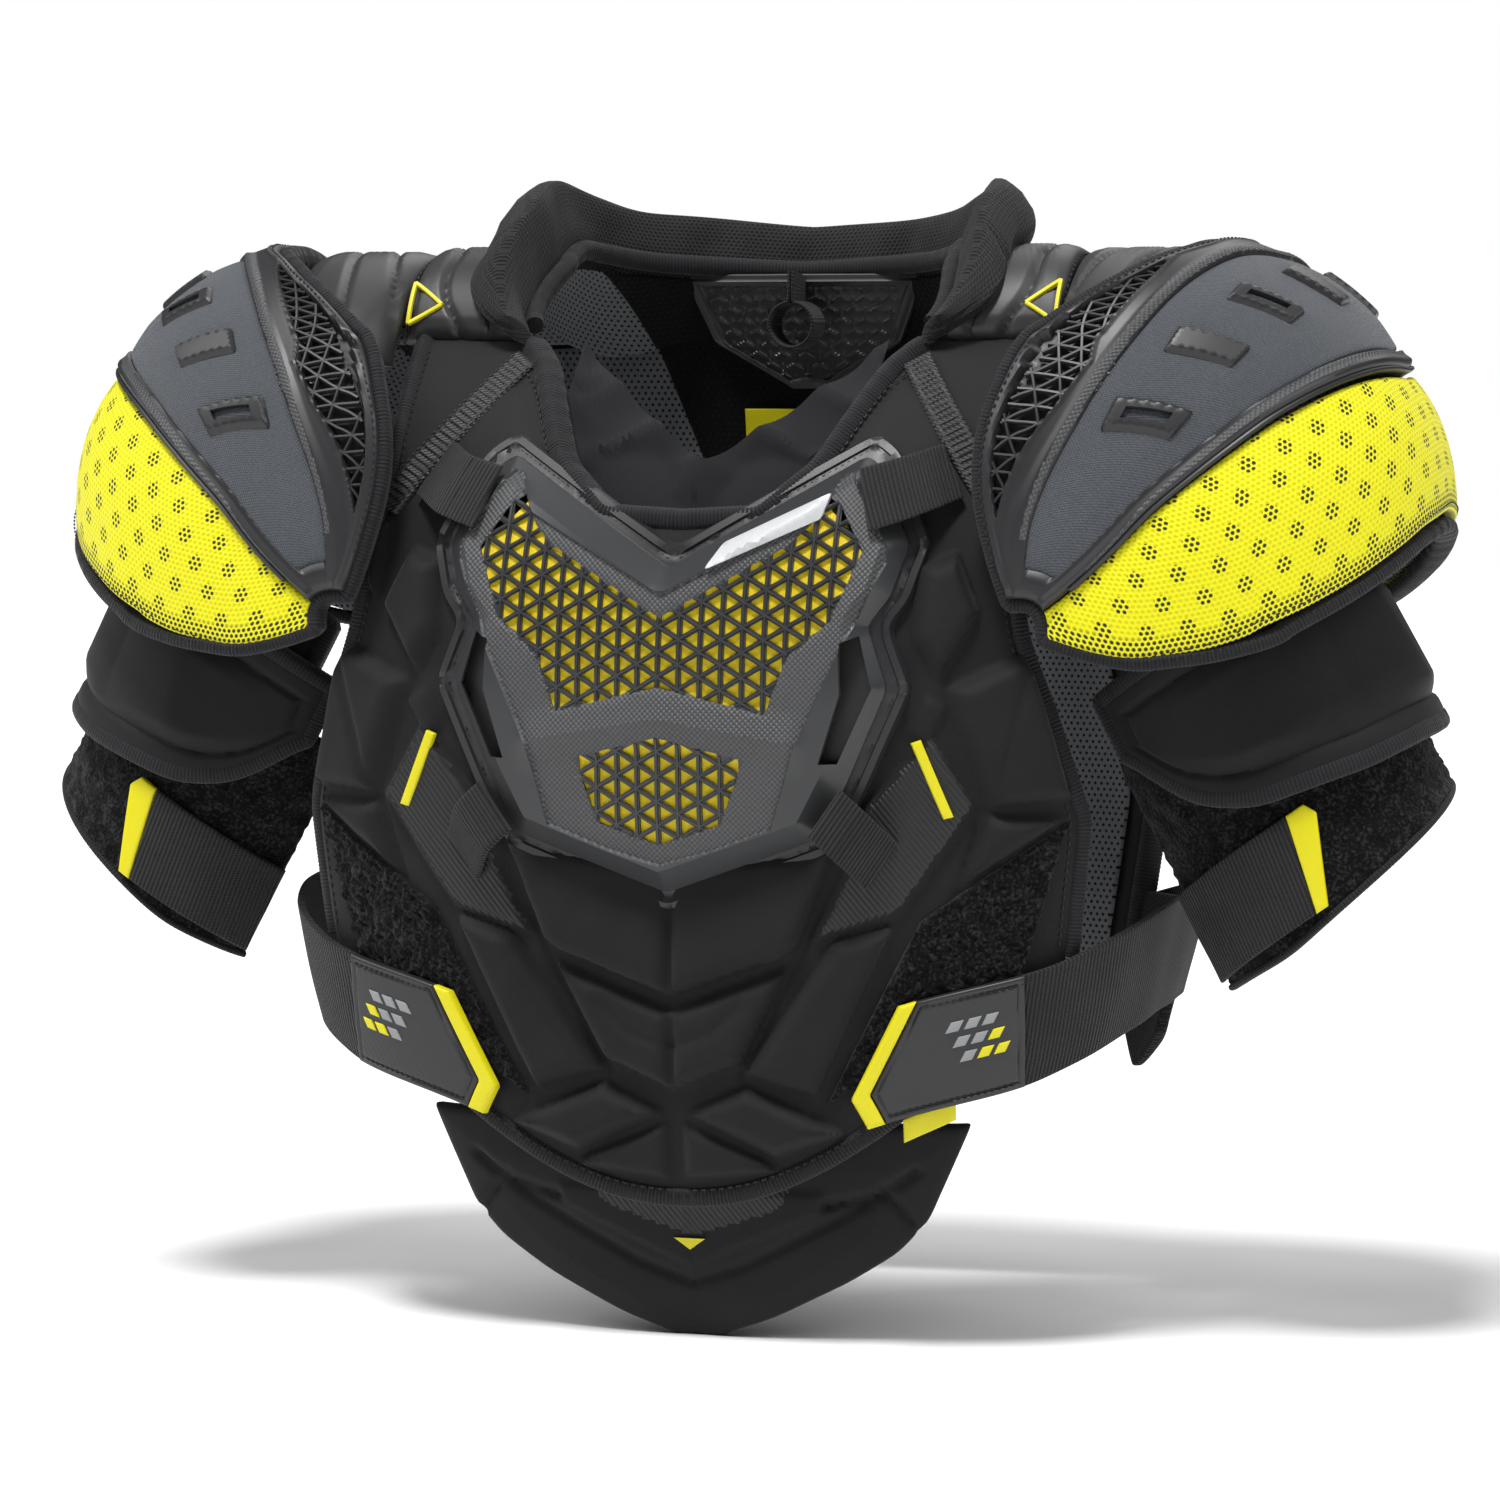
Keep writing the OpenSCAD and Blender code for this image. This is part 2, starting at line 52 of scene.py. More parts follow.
HALF_W, FRONT_D, BACK_D = 192.0, 105.0, 105.0
VEST_IN, VEST_OUT = 3.0, 12.0
BLOCK_IN = 13.0
STRAP_IN = 16.0
ROUND = 2 / 3
FRONT_SIDE = [(-380, 128), (-330, 146), (-290, 158), (-260, 165), (-205, 171), (-160, 158),
              (-130, 147), (-70, 137), (0, 140)]
NECKLINE = [(0, -80), (0.25, -78), (0.42, -58), (0.56, -17), (0.64, -6), (1, -4)]
BACK_SIDE = [(-345, 130), (-280, 158), (-205, 168), (-160, 158), (-120, 146), (-70, 138), (15, 134)]
BACK_TOP = [(0, 15), (0.3, 15), (0.55, 9), (0.75, -1), (1, -4)]
COLLAR_SEAM = [(0, 20), (50, 23), (80, 26), (105, 14), (120, 0), (130, -8)]
COLLAR_HEIGHT = [(0, 26), (45, 30), (75, 40), (95, 42), (112, 32), (124, 18), (130, 10)]
COLLAR_W, COLLAR_D, COLLAR_Y, COLLAR_END = 92.0, 71.0, 21.0, 130.0
EXTENSION_SIDE = [(-431, 10), (-424, 36), (-406, 76), (-392, 100), (-378, 114), (-336, 134)]
CAP_TIP = (150.0, 2.0, -125.0)
CAP_REACH, CAP_HALF_L, CAP_RISE = 161.0, 118.0, 168.0
CAP_ROUND, CAP_DEPTH_ROUND = 0.8, 2 / 2.3
CAP_HEM = [(0, 12), (15, 10.5), (30, 7), (45, 3), (60, -1), (70, -5), (76, -10), (87, -14)]
CAP_RIDGE = [(0, 34), (45, 39), (70, 40), (87, 32)]
CAP_FABRIC = ([(0, 62), (12, 67), (30, 71), (45, 74), (63, 79), (79, 87)],
              [(0, 62), (20, 58), (45, 62), (76, 72)])
CAP_INNER = ([(0, 71), (15, 73.5), (30, 80), (45, 89.5), (57, 94), (72, 103), (87, 108)],
             [(0, 71), (15, 70), (30, 70), (45, 74), (60, 80), (76, 92)])
CAP_START, CAP_STOP = 3.0, 168.0
FRONT_REACH = [(85, 36), (120, 34), (140, 32), (150, 36), (160, 46), (175, 52), (201, 45)]
WRAP_LOW = [(-95, 8), (-40, 10), (0, 20), (60, 37), (110, 51), (152, 53)]
PAD_LOW = [(-88, -30), (-40, -14), (0, -7), (50, -6), (92, -12), (110, -24), (128, -55)]
ARM_CENTRE = (248.0, -14.0, -205.0)
ARM_W, ARM_D, ARM_TILT = 64.0, 52.0, math.radians(28)


# Where lut samples either side of x, in parts of its rounding distance, and with what weight.
TAPS = ((-1, 1), (-0.6, 2), (-0.3, 3), (0, 3.5), (0.3, 3), (0.6, 2), (1, 1))


def lut(x, rows, soft=0.0):
    """Straight lines through the rows, with their corners rounded over soft either way."""
    xs, ys = zip(*rows)
    if not soft:
        return np.interp(x, xs, ys)
    total = sum(w * np.interp(np.asarray(x) + t * soft, xs, ys) for t, w in TAPS)
    return total / sum(w for _, w in TAPS)


def row(count, start, end):
    return np.linspace(start, end, count)


def bent(x, e):
    return np.sign(x) * np.abs(x) ** e


def smooth(x):
    x = np.clip(x, 0, 1)
    return x * x * (3 - 2 * x)


def mix(a, b, t):
    return a + (b - a) * t


def point(x, y, z):
    return np.stack(np.broadcast_arrays(x, y, z), -1).astype(float)


def half_w(z):
    return np.where(z > -180, HALF_W + 15 * (np.maximum(z + 180, 0) / 170) ** 2,
                    HALF_W - 28 * (np.maximum(-180 - z, 0) / 150) ** 1.5)


def front_depth(z):
    return np.where(z > -160, FRONT_D - 74 * (np.maximum(z + 160, 0) / 148) ** 2.3,
                    FRONT_D - 16 * ((z + 160) / 220) ** 2)


def back_depth(z):
    return BACK_D - np.where(z > -120, 14 * ((z + 120) / 120) ** 2, 18 * ((z + 120) / 210) ** 2)


def torso(a, z, d):
    """Point at angle a round the torso: 0 is the front, 90 is +X and 180 is the back."""
    a = np.radians(a)
    depth = np.where(np.cos(a) > 0, front_depth(z), back_depth(z))
    return point((half_w(z) + d) * bent(np.sin(a), ROUND),
                 -(depth + d) * bent(np.cos(a), ROUND), z)


def angle_at(x, z, d=VEST_OUT):
    """Angle at which a face at offset d reaches x. It is the outer face of the vest by default."""
    part = np.minimum(1, np.abs(x) / (half_w(z) + d)) ** (1 / ROUND)
    return np.sign(x) * np.degrees(np.arcsin(part))


def front(x, z, d):
    return torso(angle_at(x, z), z, d)


def true_front(x, z, d):
    """As front, with x kept true however far out the point is."""
    return torso(angle_at(x, z, d), z, d)


def back(x, z, d):
    return torso(180 - angle_at(x, z), z, d)


def collar(g, up, d):
    """Point on the collar: g is 0 at the back, and its front ends flare outwards."""
    g = np.asarray(g, float)
    d = d + 21 * smooth((np.abs(g) - 95) / 35)
    return point((COLLAR_W + 9 * up * up + d) * np.sin(np.radians(g)),
                 COLLAR_Y + (COLLAR_D + 7 * up * up + d) * np.cos(np.radians(g)),
                 lut(np.abs(g), COLLAR_SEAM, 6) + up * lut(np.abs(g), COLLAR_HEIGHT, 7))


def yoke(x, p, d):
    """Point on the arch over the shoulder at x: p is 0 at its front foot, 180 at its back foot."""
    reach = mix(lut(x, FRONT_REACH, 6), 72 - 20 * ((x - 85) / 120) ** 2, smooth((p - 70) / 40))
    p = np.radians(p)
    return point(x, 12 - (reach + d) * np.cos(p), -16 + (36 + d) * np.sin(p))


def cap(p, t, d):
    """Point on the left cap: p is 0 outward and 90 up; t runs 0 to 180 from front to back."""
    p, t = np.radians(p), np.radians(t)
    r = bent(np.sin(t), CAP_DEPTH_ROUND)
    return point(CAP_TIP[0] + (CAP_REACH + d) * r * bent(np.cos(p), CAP_ROUND),
                 CAP_TIP[1] - (CAP_HALF_L + d) * bent(np.cos(t), CAP_DEPTH_ROUND),
                 CAP_TIP[2] + (CAP_RISE + d) * r * bent(np.sin(p), CAP_ROUND))


def arm(a, s, d):
    """Point on the left arm guard: a is 0 outward and 90 in front; s runs down the arm."""
    a = np.radians(a)
    out = (ARM_W + d) * np.cos(a)
    return point(ARM_CENTRE[0] + math.sin(ARM_TILT) * s + math.cos(ARM_TILT) * out,
                 ARM_CENTRE[1] - (ARM_D + d) * np.sin(a),
                 ARM_CENTRE[2] - math.cos(ARM_TILT) * s + math.sin(ARM_TILT) * out)


def belly_z(a):
    return -323 + 57 * np.sin(np.radians((a - 14) * 1.05)) + 8 * smooth((50 - a) / 30)


def belly(a, v, d):
    return torso(a, belly_z(a) + 25 * (2 * v - 1), d)


def hem_z(s):
    return -366 + 100 * np.abs(s) ** 2.2


def back_hem_z(s):
    return -345 + 66 * np.abs(s) ** 2.4


def waves(x, y, length, seed):
    """Smooth even noise between about -1 and 1, with features about length mm across."""
    rng = np.random.default_rng(seed)
    total = 0
    for _ in range(7):
        turn, shift = rng.uniform(0, 2 * math.pi, 2)
        size = length * rng.uniform(0.7, 1.5)
        across = x * math.cos(turn) + y * math.sin(turn)
        total = total + np.sin(across * 2 * math.pi / size + shift)
    return total / 3.5


def line_distance(x, z, points, tiny=0.0):
    """Distance to a line through the points."""
    nearest = np.full(np.shape(x), 1e9)
    for (x0, z0), (x1, z1) in zip(points[:-1], points[1:]):
        dx, dz = x1 - x0, z1 - z0
        t = np.clip(((x - x0) * dx + (z - z0) * dz) / (dx * dx + dz * dz + tiny), 0, 1)
        nearest = np.minimum(nearest, np.hypot(x - x0 - t * dx, z - z0 - t * dz))
    return nearest


def signed_distance(x, z, polygon):
    """Distance to a polygon's outline, positive inside it."""
    ring = np.array([*polygon, polygon[0]], float)
    inside = np.zeros(np.shape(x), bool)
    for (x0, z0), (x1, z1) in zip(ring[:-1], ring[1:]):
        if z0 != z1:
            inside ^= ((z0 > z) != (z1 > z)) & (x < (x1 - x0) * (z - z0) / (z1 - z0) + x0)
    nearest = line_distance(x, z, ring, 1e-9)
    return np.where(inside, nearest, -nearest)


def shoulder(distance, width):
    """Height of a moulded pad's edge: steep at the groove, then rounding over to flat."""
    return 1 - (1 - np.clip(distance / width, 0, 1)) ** 2.4


def groove(x, z, line, width):
    """1 on a line of points, falling to 0 at width from it."""
    return np.clip(1 - line_distance(x, z, line) / width, 0, 1) ** 1.5


def grooves(x, z, lines):
    """The deepest of several grooves, given as (line, width)."""
    return np.maximum.reduce([groove(x, z, line, width) for line, width in lines])


def blocks(x, z, panels):
    """Height of the raised blocks, given as (outline, height, width of the edge)."""
    return np.maximum.reduce([height * shoulder(signed_distance(x, z, outline), width)
                              for outline, height, width in panels] + [0.0 * x])


def near(distance, width):
    """1 where a distance is 0, falling evenly to 0 at width either way."""
    return np.clip(1 - np.abs(distance) / width, 0, 1)


def ramp(distance, width):
    """0 up to distance 0, rising evenly to 1 at width."""
    return np.clip(distance / width, 0, 1)


def quad_map(corners, u, v):
    """The (x, z) at u, v inside four corners."""
    c = np.array(corners, float)
    u, v = np.asarray(u)[..., None], np.asarray(v)[..., None]
    p = mix(mix(c[0], c[1], u), mix(c[3], c[2], u), v)
    return p[..., 0], p[..., 1]


# ---- closed meshes -------------------------------------------------------------------------

class Solid:
    """Closed skins in millimetres, gathered before they become one object."""

    def __init__(self):
        self.parts = []

    def add(self, verts, quads=None, tris=None, uv=None, quad_mats=None, tri_mats=None):
        verts = np.asarray(verts, float).reshape(-1, 3)
        quads = np.asarray([] if quads is None else quads, int).reshape(-1, 4)
        tris = np.asarray([] if tris is None else tris, int).reshape(-1, 3)
        uv = np.zeros((len(verts), 2)) if uv is None else np.asarray(uv, float).reshape(-1, 2)
        quad_mats = np.zeros(len(quads), int) if quad_mats is None else quad_mats
        tri_mats = np.zeros(len(tris), int) if tri_mats is None else tri_mats
        every = np.concatenate([quads[:, [0, 1, 2]], quads[:, [0, 2, 3]], tris])
        a, b, c = (verts[every[:, k]] for k in range(3))
        if np.einsum("ij,ij->i", a, np.cross(b, c)).sum() < 0:
            quads, tris = quads[:, ::-1], tris[:, ::-1]
        self.parts.append((verts, quads, tris, uv, quad_mats, tri_mats))
        return self

    def join(self, other):
        self.parts += other.parts
        return self

    def painted(self, number):
        """Gives every face one of the piece's materials."""
        self.parts = [p[:4] + tuple(np.full(len(faces), number) for faces in p[1:3])
                      for p in self.parts]
        return self

    def mirrored(self):
        flipped = Solid()
        for verts, quads, tris, uv, quad_mats, tri_mats in self.parts:
            flipped.add(verts * (-1, 1, 1), quads, tris, uv, quad_mats, tri_mats)
        return flipped

    def both(self):
        return self.join(self.mirrored())

    def object(self, name, materials, sharp=38):
        counts = np.cumsum([0] + [len(p[0]) for p in self.parts])
        verts = np.concatenate([p[0] for p in self.parts])
        quads = np.concatenate([p[1] + n for p, n in zip(self.parts, counts)])
        tris = np.concatenate([p[2] + n for p, n in zip(self.parts, counts)])
        uv = np.concatenate([p[3] for p in self.parts])
        mats = np.concatenate([p[4] for p in self.parts] + [p[5] for p in self.parts])
        loops = np.concatenate([quads.ravel(), tris.ravel()])
        starts = np.concatenate([np.arange(len(quads)) * 4,
                                 len(quads) * 4 + np.arange(len(tris)) * 3])
        mesh = bpy.data.meshes.new(name)
        mesh.vertices.add(len(verts))
        mesh.vertices.foreach_set("co", (verts * MM).ravel())
        mesh.loops.add(len(loops))
        mesh.loops.foreach_set("vertex_index", loops)
        mesh.polygons.add(len(starts))
        mesh.polygons.foreach_set("loop_start", starts)
        for material in materials:
            mesh.materials.append(material)
        mesh.polygons.foreach_set("material_index", mats)
        mesh.update(calc_edges=True)
        layer = mesh.uv_layers.new(name="mm")
        layer.data.foreach_set("uv", uv[loops].ravel())
        mesh.polygons.foreach_set("use_smooth", np.ones(len(starts), bool))
        mesh.set_sharp_from_angle(angle=math.radians(sharp))
        mesh.validate()
        thing = bpy.data.objects.new(name, mesh)
        bpy.context.scene.collection.objects.link(thing)
        return thing


def piece(name, solid, materials, body, replaces=(), sharp=38):
    """Makes a solid into an object that rides on a body and stands for its CAD nodes."""
    thing = solid.object(name, materials, sharp)
    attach(thing, body)
    if replaces:
        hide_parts(*replaces)
    return thing


def pair(name, solid, materials, body, replaces=(), sharp=38):
    """A left piece and its mirror image. {} in a body or node name stands for the side."""
    for side, sign in SIDES:
        piece(f"{name}_{side}", solid if sign > 0 else solid.mirrored(), materials,
              body.format(side), [n.format(side) for n in replaces], sharp)


class Grid:
    """Where the vertices of a slab are: parameters, place, mm from the middle, mm to the edge."""

    def __init__(self, u, v, places):
        along = [np.concatenate([np.zeros_like(np.take(places, [0], ax))[..., 0],
                                 np.cumsum(np.linalg.norm(np.diff(places, axis=ax), axis=-1), ax)],
                                ax) for ax in (0, 1)]
        ends = [np.take(along[ax], [-1], ax) for ax in (0, 1)]
        self.u, self.v = u, v
        self.x, self.y, self.z = places[..., 0], places[..., 1], places[..., 2]
        self.from_u0, self.from_u1 = along[0], ends[0] - along[0]
        self.from_v0, self.from_v1 = along[1], ends[1] - along[1]
        self.su, self.sv = along[0] - ends[0] / 2, along[1] - ends[1] / 2
        self.edge = np.minimum(np.minimum(self.from_u0, self.from_u1),
                               np.minimum(self.from_v0, self.from_v1))


def spread(length, step, edge):
    """Parameters from 0 to 1, closer together near both ends."""
    close = np.array([0, 0.05, 0.2, 0.45, 1.0]) * min(edge, length * 0.45)
    count = max(2, int((length - 2 * close[-1]) / step) + 2)
    middle = row(count, close[-1], length - close[-1])
    return np.concatenate([close[:-1], middle, (length - close[:-1])[::-1]]) / length


def skin_faces(rows, cols):
    index = np.arange(rows * cols).reshape(rows, cols)
    faces = np.stack([index[:-1, :-1], index[:-1, 1:], index[1:, 1:], index[1:, :-1]], -1)
    return index, faces.reshape(-1, 4)


def double_sheet(top, bottom, uv, face_mats=0, back_mat=0):
    """Two sheets of points, joined round their edges into one closed skin."""
    rows, cols = top.shape[:2]
    index, faces = skin_faces(rows, cols)
    count = rows * cols
    ring = np.concatenate([index[0, :], index[1:, -1], index[-1, -2::-1], index[-2:0:-1, 0]])
    after = np.roll(ring, -1)
    rim = np.stack([after, ring, ring + count, after + count], -1)
    mats = np.zeros(2 * len(faces) + len(rim), int)
    mats[:len(faces)] = face_mats
    mats[len(faces):2 * len(faces)] = back_mat
    place = uv.reshape(-1, 2)
    return Solid().add(np.concatenate([top.reshape(-1, 3), bottom.reshape(-1, 3)]),
                       np.concatenate([faces, faces[:, ::-1] + count, rim]),
                       uv=np.concatenate([place, place]), quad_mats=mats)


def slab(shape, inner, outer, step=3.0, edge=3.0, lip=0.25, relief=None, back_relief=None,
         paint=None, uv=None, back_paint=0):
    """A closed layer of shape(u, v, d) with rounded edges. relief(grid) raises its outer face."""
    probe, half = row(49, 0, 1), np.full(49, 0.5)
    middle = (inner + outer) / 2
    lengths = [np.linalg.norm(np.diff(shape(*pair_, middle), axis=0), axis=1).sum()
               for pair_ in ((probe, half), (half, probe))]
    u, v = np.meshgrid(*(spread(length, step, edge) for length in lengths), indexing="ij")
    g = Grid(u, v, shape(u, v, outer))
    high = outer + (relief(g) if relief else 0)
    low = inner - (back_relief(g) if back_relief else 0)
    rise = lip + (1 - lip) * np.sqrt(1 - (1 - np.clip(g.edge / edge, 0, 1)) ** 2)
    core = inner + 0.35 * (outer - inner)
    top, bottom = shape(u, v, core + (high - core) * rise), shape(u, v, core + (low - core) * rise)
    mats = np.asarray(paint(g)).astype(int)[:-1, :-1].ravel() if paint else 0
    return double_sheet(top, bottom, np.stack(uv(g) if uv else (g.su, g.sv), -1), mats, back_paint)


def resample(path, step, closed=False):
    """The path's points at even steps, and how far along it each is."""
    path = np.asarray(path, float)
    if closed:
        path = np.concatenate([path, path[:1]])
    along = np.concatenate([[0], np.cumsum(np.linalg.norm(np.diff(path, axis=0), axis=1))])
    count = max(3, int(round(along[-1] / step)) + 1)
    at = np.linspace(0, along[-1], count)[:-1 if closed else None]
    return np.stack([np.interp(at, along, path[:, k]) for k in range(path.shape[1])], -1), at


def unit(v):
    return v / np.maximum(np.linalg.norm(v, axis=-1, keepdims=True), 1e-9)


def frames(path, normals, closed=False):
    """Side and up directions along a path, with up as near as can be to the normals."""
    if closed:
        tangent = unit(np.roll(path, -1, 0) - np.roll(path, 1, 0))
    else:
        tangent = unit(np.gradient(path, axis=0))
    side = unit(np.cross(tangent, normals))
    return side, unit(np.cross(side, tangent))


def sweep(path, normals, half_side, half_up, step, squareness, count=14, ribs=None, closed=False):
    """A tape or cord of oval section along a path. ribs are a pitch and a relative depth."""
    both, along = resample(np.concatenate([path, normals], 1), step, closed)
    path, normals = both[:, :3], both[:, 3:]
    side, up = frames(path, normals, closed)
    turn = np.arange(count) * 2 * math.pi / count
    around = bent(np.cos(turn), squareness) * half_side
    above = bent(np.sin(turn), squareness) * half_up
    size = np.ones(len(path))
    if ribs:
        size = 1 - ribs[1] * (0.5 + 0.5 * np.cos(2 * math.pi * along / ribs[0]))
    rings = (path[:, None] + size[:, None, None] * (side[:, None] * around[None, :, None]
                                                    + up[:, None] * above[None, :, None]))
    n = len(path)
    index = np.arange(n * count).reshape(n, count)
    following = np.roll(index, -1, 0) if closed else index[1:]
    start = index if closed else index[:-1]
    quads = np.stack([start, np.roll(start, -1, 1), np.roll(following, -1, 1), following], -1)
    uv = np.stack(np.broadcast_arrays(along[:, None], turn[None] * half_side * 0.6), -1)
    verts, uv, tris = rings.reshape(-1, 3), uv.reshape(-1, 2), []
    if not closed:
        verts = np.concatenate([verts, path[[0, -1]]])
        uv = np.concatenate([uv, [[0, 0], [along[-1], 0]]])
        first, last = index[0], index[-1]
        tris = [np.stack([np.roll(first, -1), first, np.full(count, n * count)], -1),
                np.stack([last, np.roll(last, -1), np.full(count, n * count + 1)], -1)]
        tris = np.concatenate(tris)
    return Solid().add(verts, quads.reshape(-1, 4), tris, uv)


def rail(shape, a, b, offset):
    """A path over a shape at an offset from it, and the outward directions along it."""
    path = shape(a, b, offset)
    return path, unit(shape(a, b, offset + 1) - path)


def stitches(path, normals, length=2.6, gap=1.3, radius=0.45, lift=0.1):
    """A row of thread stitches lying along a path."""
    pitch = length + gap
    both, along = resample(np.concatenate([path, normals], 1), pitch)
    centre, normal = both[:, :3], unit(both[:, 3:])
    side, up = frames(centre, normal)
    tangent = unit(np.cross(up, side))
    centre = centre + up * lift
    sides = 5
    verts, quads, tris = [], [], []
    for k in range(len(centre)):
        base = len(verts)
        verts.append(centre[k] - tangent[k] * length / 2)
        for end in (-0.3, 0.3):
            for angle in np.arange(sides) * 2 * math.pi / sides:
                verts.append(centre[k] + tangent[k] * length * end
                             + radius * (side[k] * math.cos(angle) + up[k] * math.sin(angle)))
        verts.append(centre[k] + tangent[k] * length / 2)
        for j in range(sides):
            a, b = base + 1 + j, base + 1 + (j + 1) % sides
            tris += [(base, b, a), (len(verts) - 1, a + sides, b + sides)]
            quads.append((a, b, b + sides, a + sides))
    return Solid().add(verts, quads, tris)


def clip_to_convex(subject, convex):
    """The part of the subject polygon inside a convex polygon given anticlockwise."""
    result = [tuple(p) for p in subject]
    for (x0, y0), (x1, y1) in zip(convex, convex[1:] + convex[:1]):
        if not result:
            return result
        def side(p):
            return (x1 - x0) * (p[1] - y0) - (y1 - y0) * (p[0] - x0)
        clipped = []
        for p, q in zip(result, result[1:] + result[:1]):
            if side(p) >= 0:
                clipped.append(p)
            if (side(p) >= 0) != (side(q) >= 0):
                t = side(p) / (side(p) - side(q))
                clipped.append((p[0] + t * (q[0] - p[0]), p[1] + t * (q[1] - p[1])))
        result = clipped
    return result


def area(polygon):
    x, y = np.array(polygon).T
    return 0.5 * abs(np.dot(x, np.roll(y, -1)) - np.dot(y, np.roll(x, -1)))


def dense(ring, step, closed=True):
    """The ring's corners with points between them, at most step apart."""
    ring = [np.array(p, float) for p in ring]
    ends = ring[1:] + (ring[:1] if closed else [])
    result = []
    for a, b in zip(ring, ends):
        count = max(1, int(math.ceil(np.linalg.norm(b - a) / step)))
        result += [tuple(a + (b - a) * k / count) for k in range(count)]
    return result if closed else result + [tuple(ring[-1])]


def plate(outline, bottom, top, holes=(), creases=(), step=3.5, shape=front, paint=None):
    """A curved plate with an outline and holes in (x, z). bottom and top give its two offsets."""
    points, edges = [], []

    def line(ring, closed=True):
        ring = dense(ring, step, closed)
        base = len(points)
        points.extend(ring)
        edges.extend((base + k, base + (k + 1) % len(ring))
                     for k in range(len(ring) - (0 if closed else 1)))

    line(outline)
    for hole in holes:
        line(hole)
    for crease in creases:
        line(crease, False)
    ring = np.array(outline)
    xs, zs = np.meshgrid(np.arange(ring[:, 0].min(), ring[:, 0].max(), step),
                         np.arange(ring[:, 1].min(), ring[:, 1].max(), step * 0.87))
    xs = xs + (np.arange(len(xs)) % 2)[:, None] * step / 2
    xs, zs = xs.ravel(), zs.ravel()
    fixed = np.array(points)
    clear = np.array([((fixed - (x, z)) ** 2).sum(1).min() > (0.55 * step) ** 2
                      for x, z in zip(xs, zs)])
    keep = (signed_distance(xs, zs, outline) > 0.3 * step) & clear
    points.extend(zip(xs[keep], zs[keep]))
    found = delaunay_2d_cdt([Vector(p) for p in points], edges, [], 0, 1e-5, False)
    flat = np.array([tuple(p) for p in found[0]])
    tris = np.array([f for f in found[2] if len(f) == 3])
    middle = flat[tris].mean(1)
    wanted = signed_distance(middle[:, 0], middle[:, 1], outline) > 0
    for hole in holes:
        wanted &= signed_distance(middle[:, 0], middle[:, 1], hole) < 0
    tris = tris[wanted]
    used, tris = np.unique(tris, return_inverse=True)
    flat, tris = flat[used], tris.reshape(-1, 3)
    middle = flat[tris].mean(1)
    count = len(flat)
    x, z = flat.T
    upper, lower = shape(x, z, top(x, z)), shape(x, z, bottom(x, z))
    sides = np.concatenate([tris[:, [0, 1]], tris[:, [1, 2]], tris[:, [2, 0]]])
    keys = {tuple(edge) for edge in sides}
    rim = np.array([edge for edge in sides if (edge[1], edge[0]) not in keys])
    walls = np.stack([rim[:, 1], rim[:, 0], rim[:, 0] + count, rim[:, 1] + count], -1)
    colours = paint(middle[:, 0], middle[:, 1]).astype(int) if paint else np.zeros(len(tris), int)
    return Solid().add(np.concatenate([upper, lower]), walls,
                       np.concatenate([tris, tris[:, ::-1] + count]),
                       np.concatenate([flat, flat]),
                       tri_mats=np.concatenate([colours, np.zeros(len(tris), int)]))


def flat_at(height):
    return lambda x, z: np.full(np.shape(x), float(height))


def mirrored_ring(half):
    """A closed outline from its +x half, which starts and ends on x = 0 or leaves a gap there."""
    return list(half) + [(-x, z) for x, z in reversed(half) if x > 0]


def looped(ring):
    """The outline with its first corner again at its end."""
    return list(ring) + list(ring[:1])


def runs(inside, least=6):
    """The slices of a row of truth values that are true for more than a few."""
    edges = np.flatnonzero(np.diff(np.concatenate([[0], inside.astype(int), [0]])))
    return [slice(a, b) for a, b in zip(edges[::2], edges[1::2]) if b - a > least]


def round_band(along, low, high, count, past=0.0):
    """Parameters all round a band: out along its low edge and back along its high edge."""
    across = row(count, 0, 1)[1:-1]
    end, start = np.full(count - 2, along[-1] + past), np.full(count - 2, along[0] - past)
    return (np.concatenate([along, end, along[::-1], start]),
            np.concatenate([low, mix(low[-1], high[-1], across), high[::-1],
                            mix(high[0], low[0], across)]))


# ---- materials -----------------------------------------------------------------------------

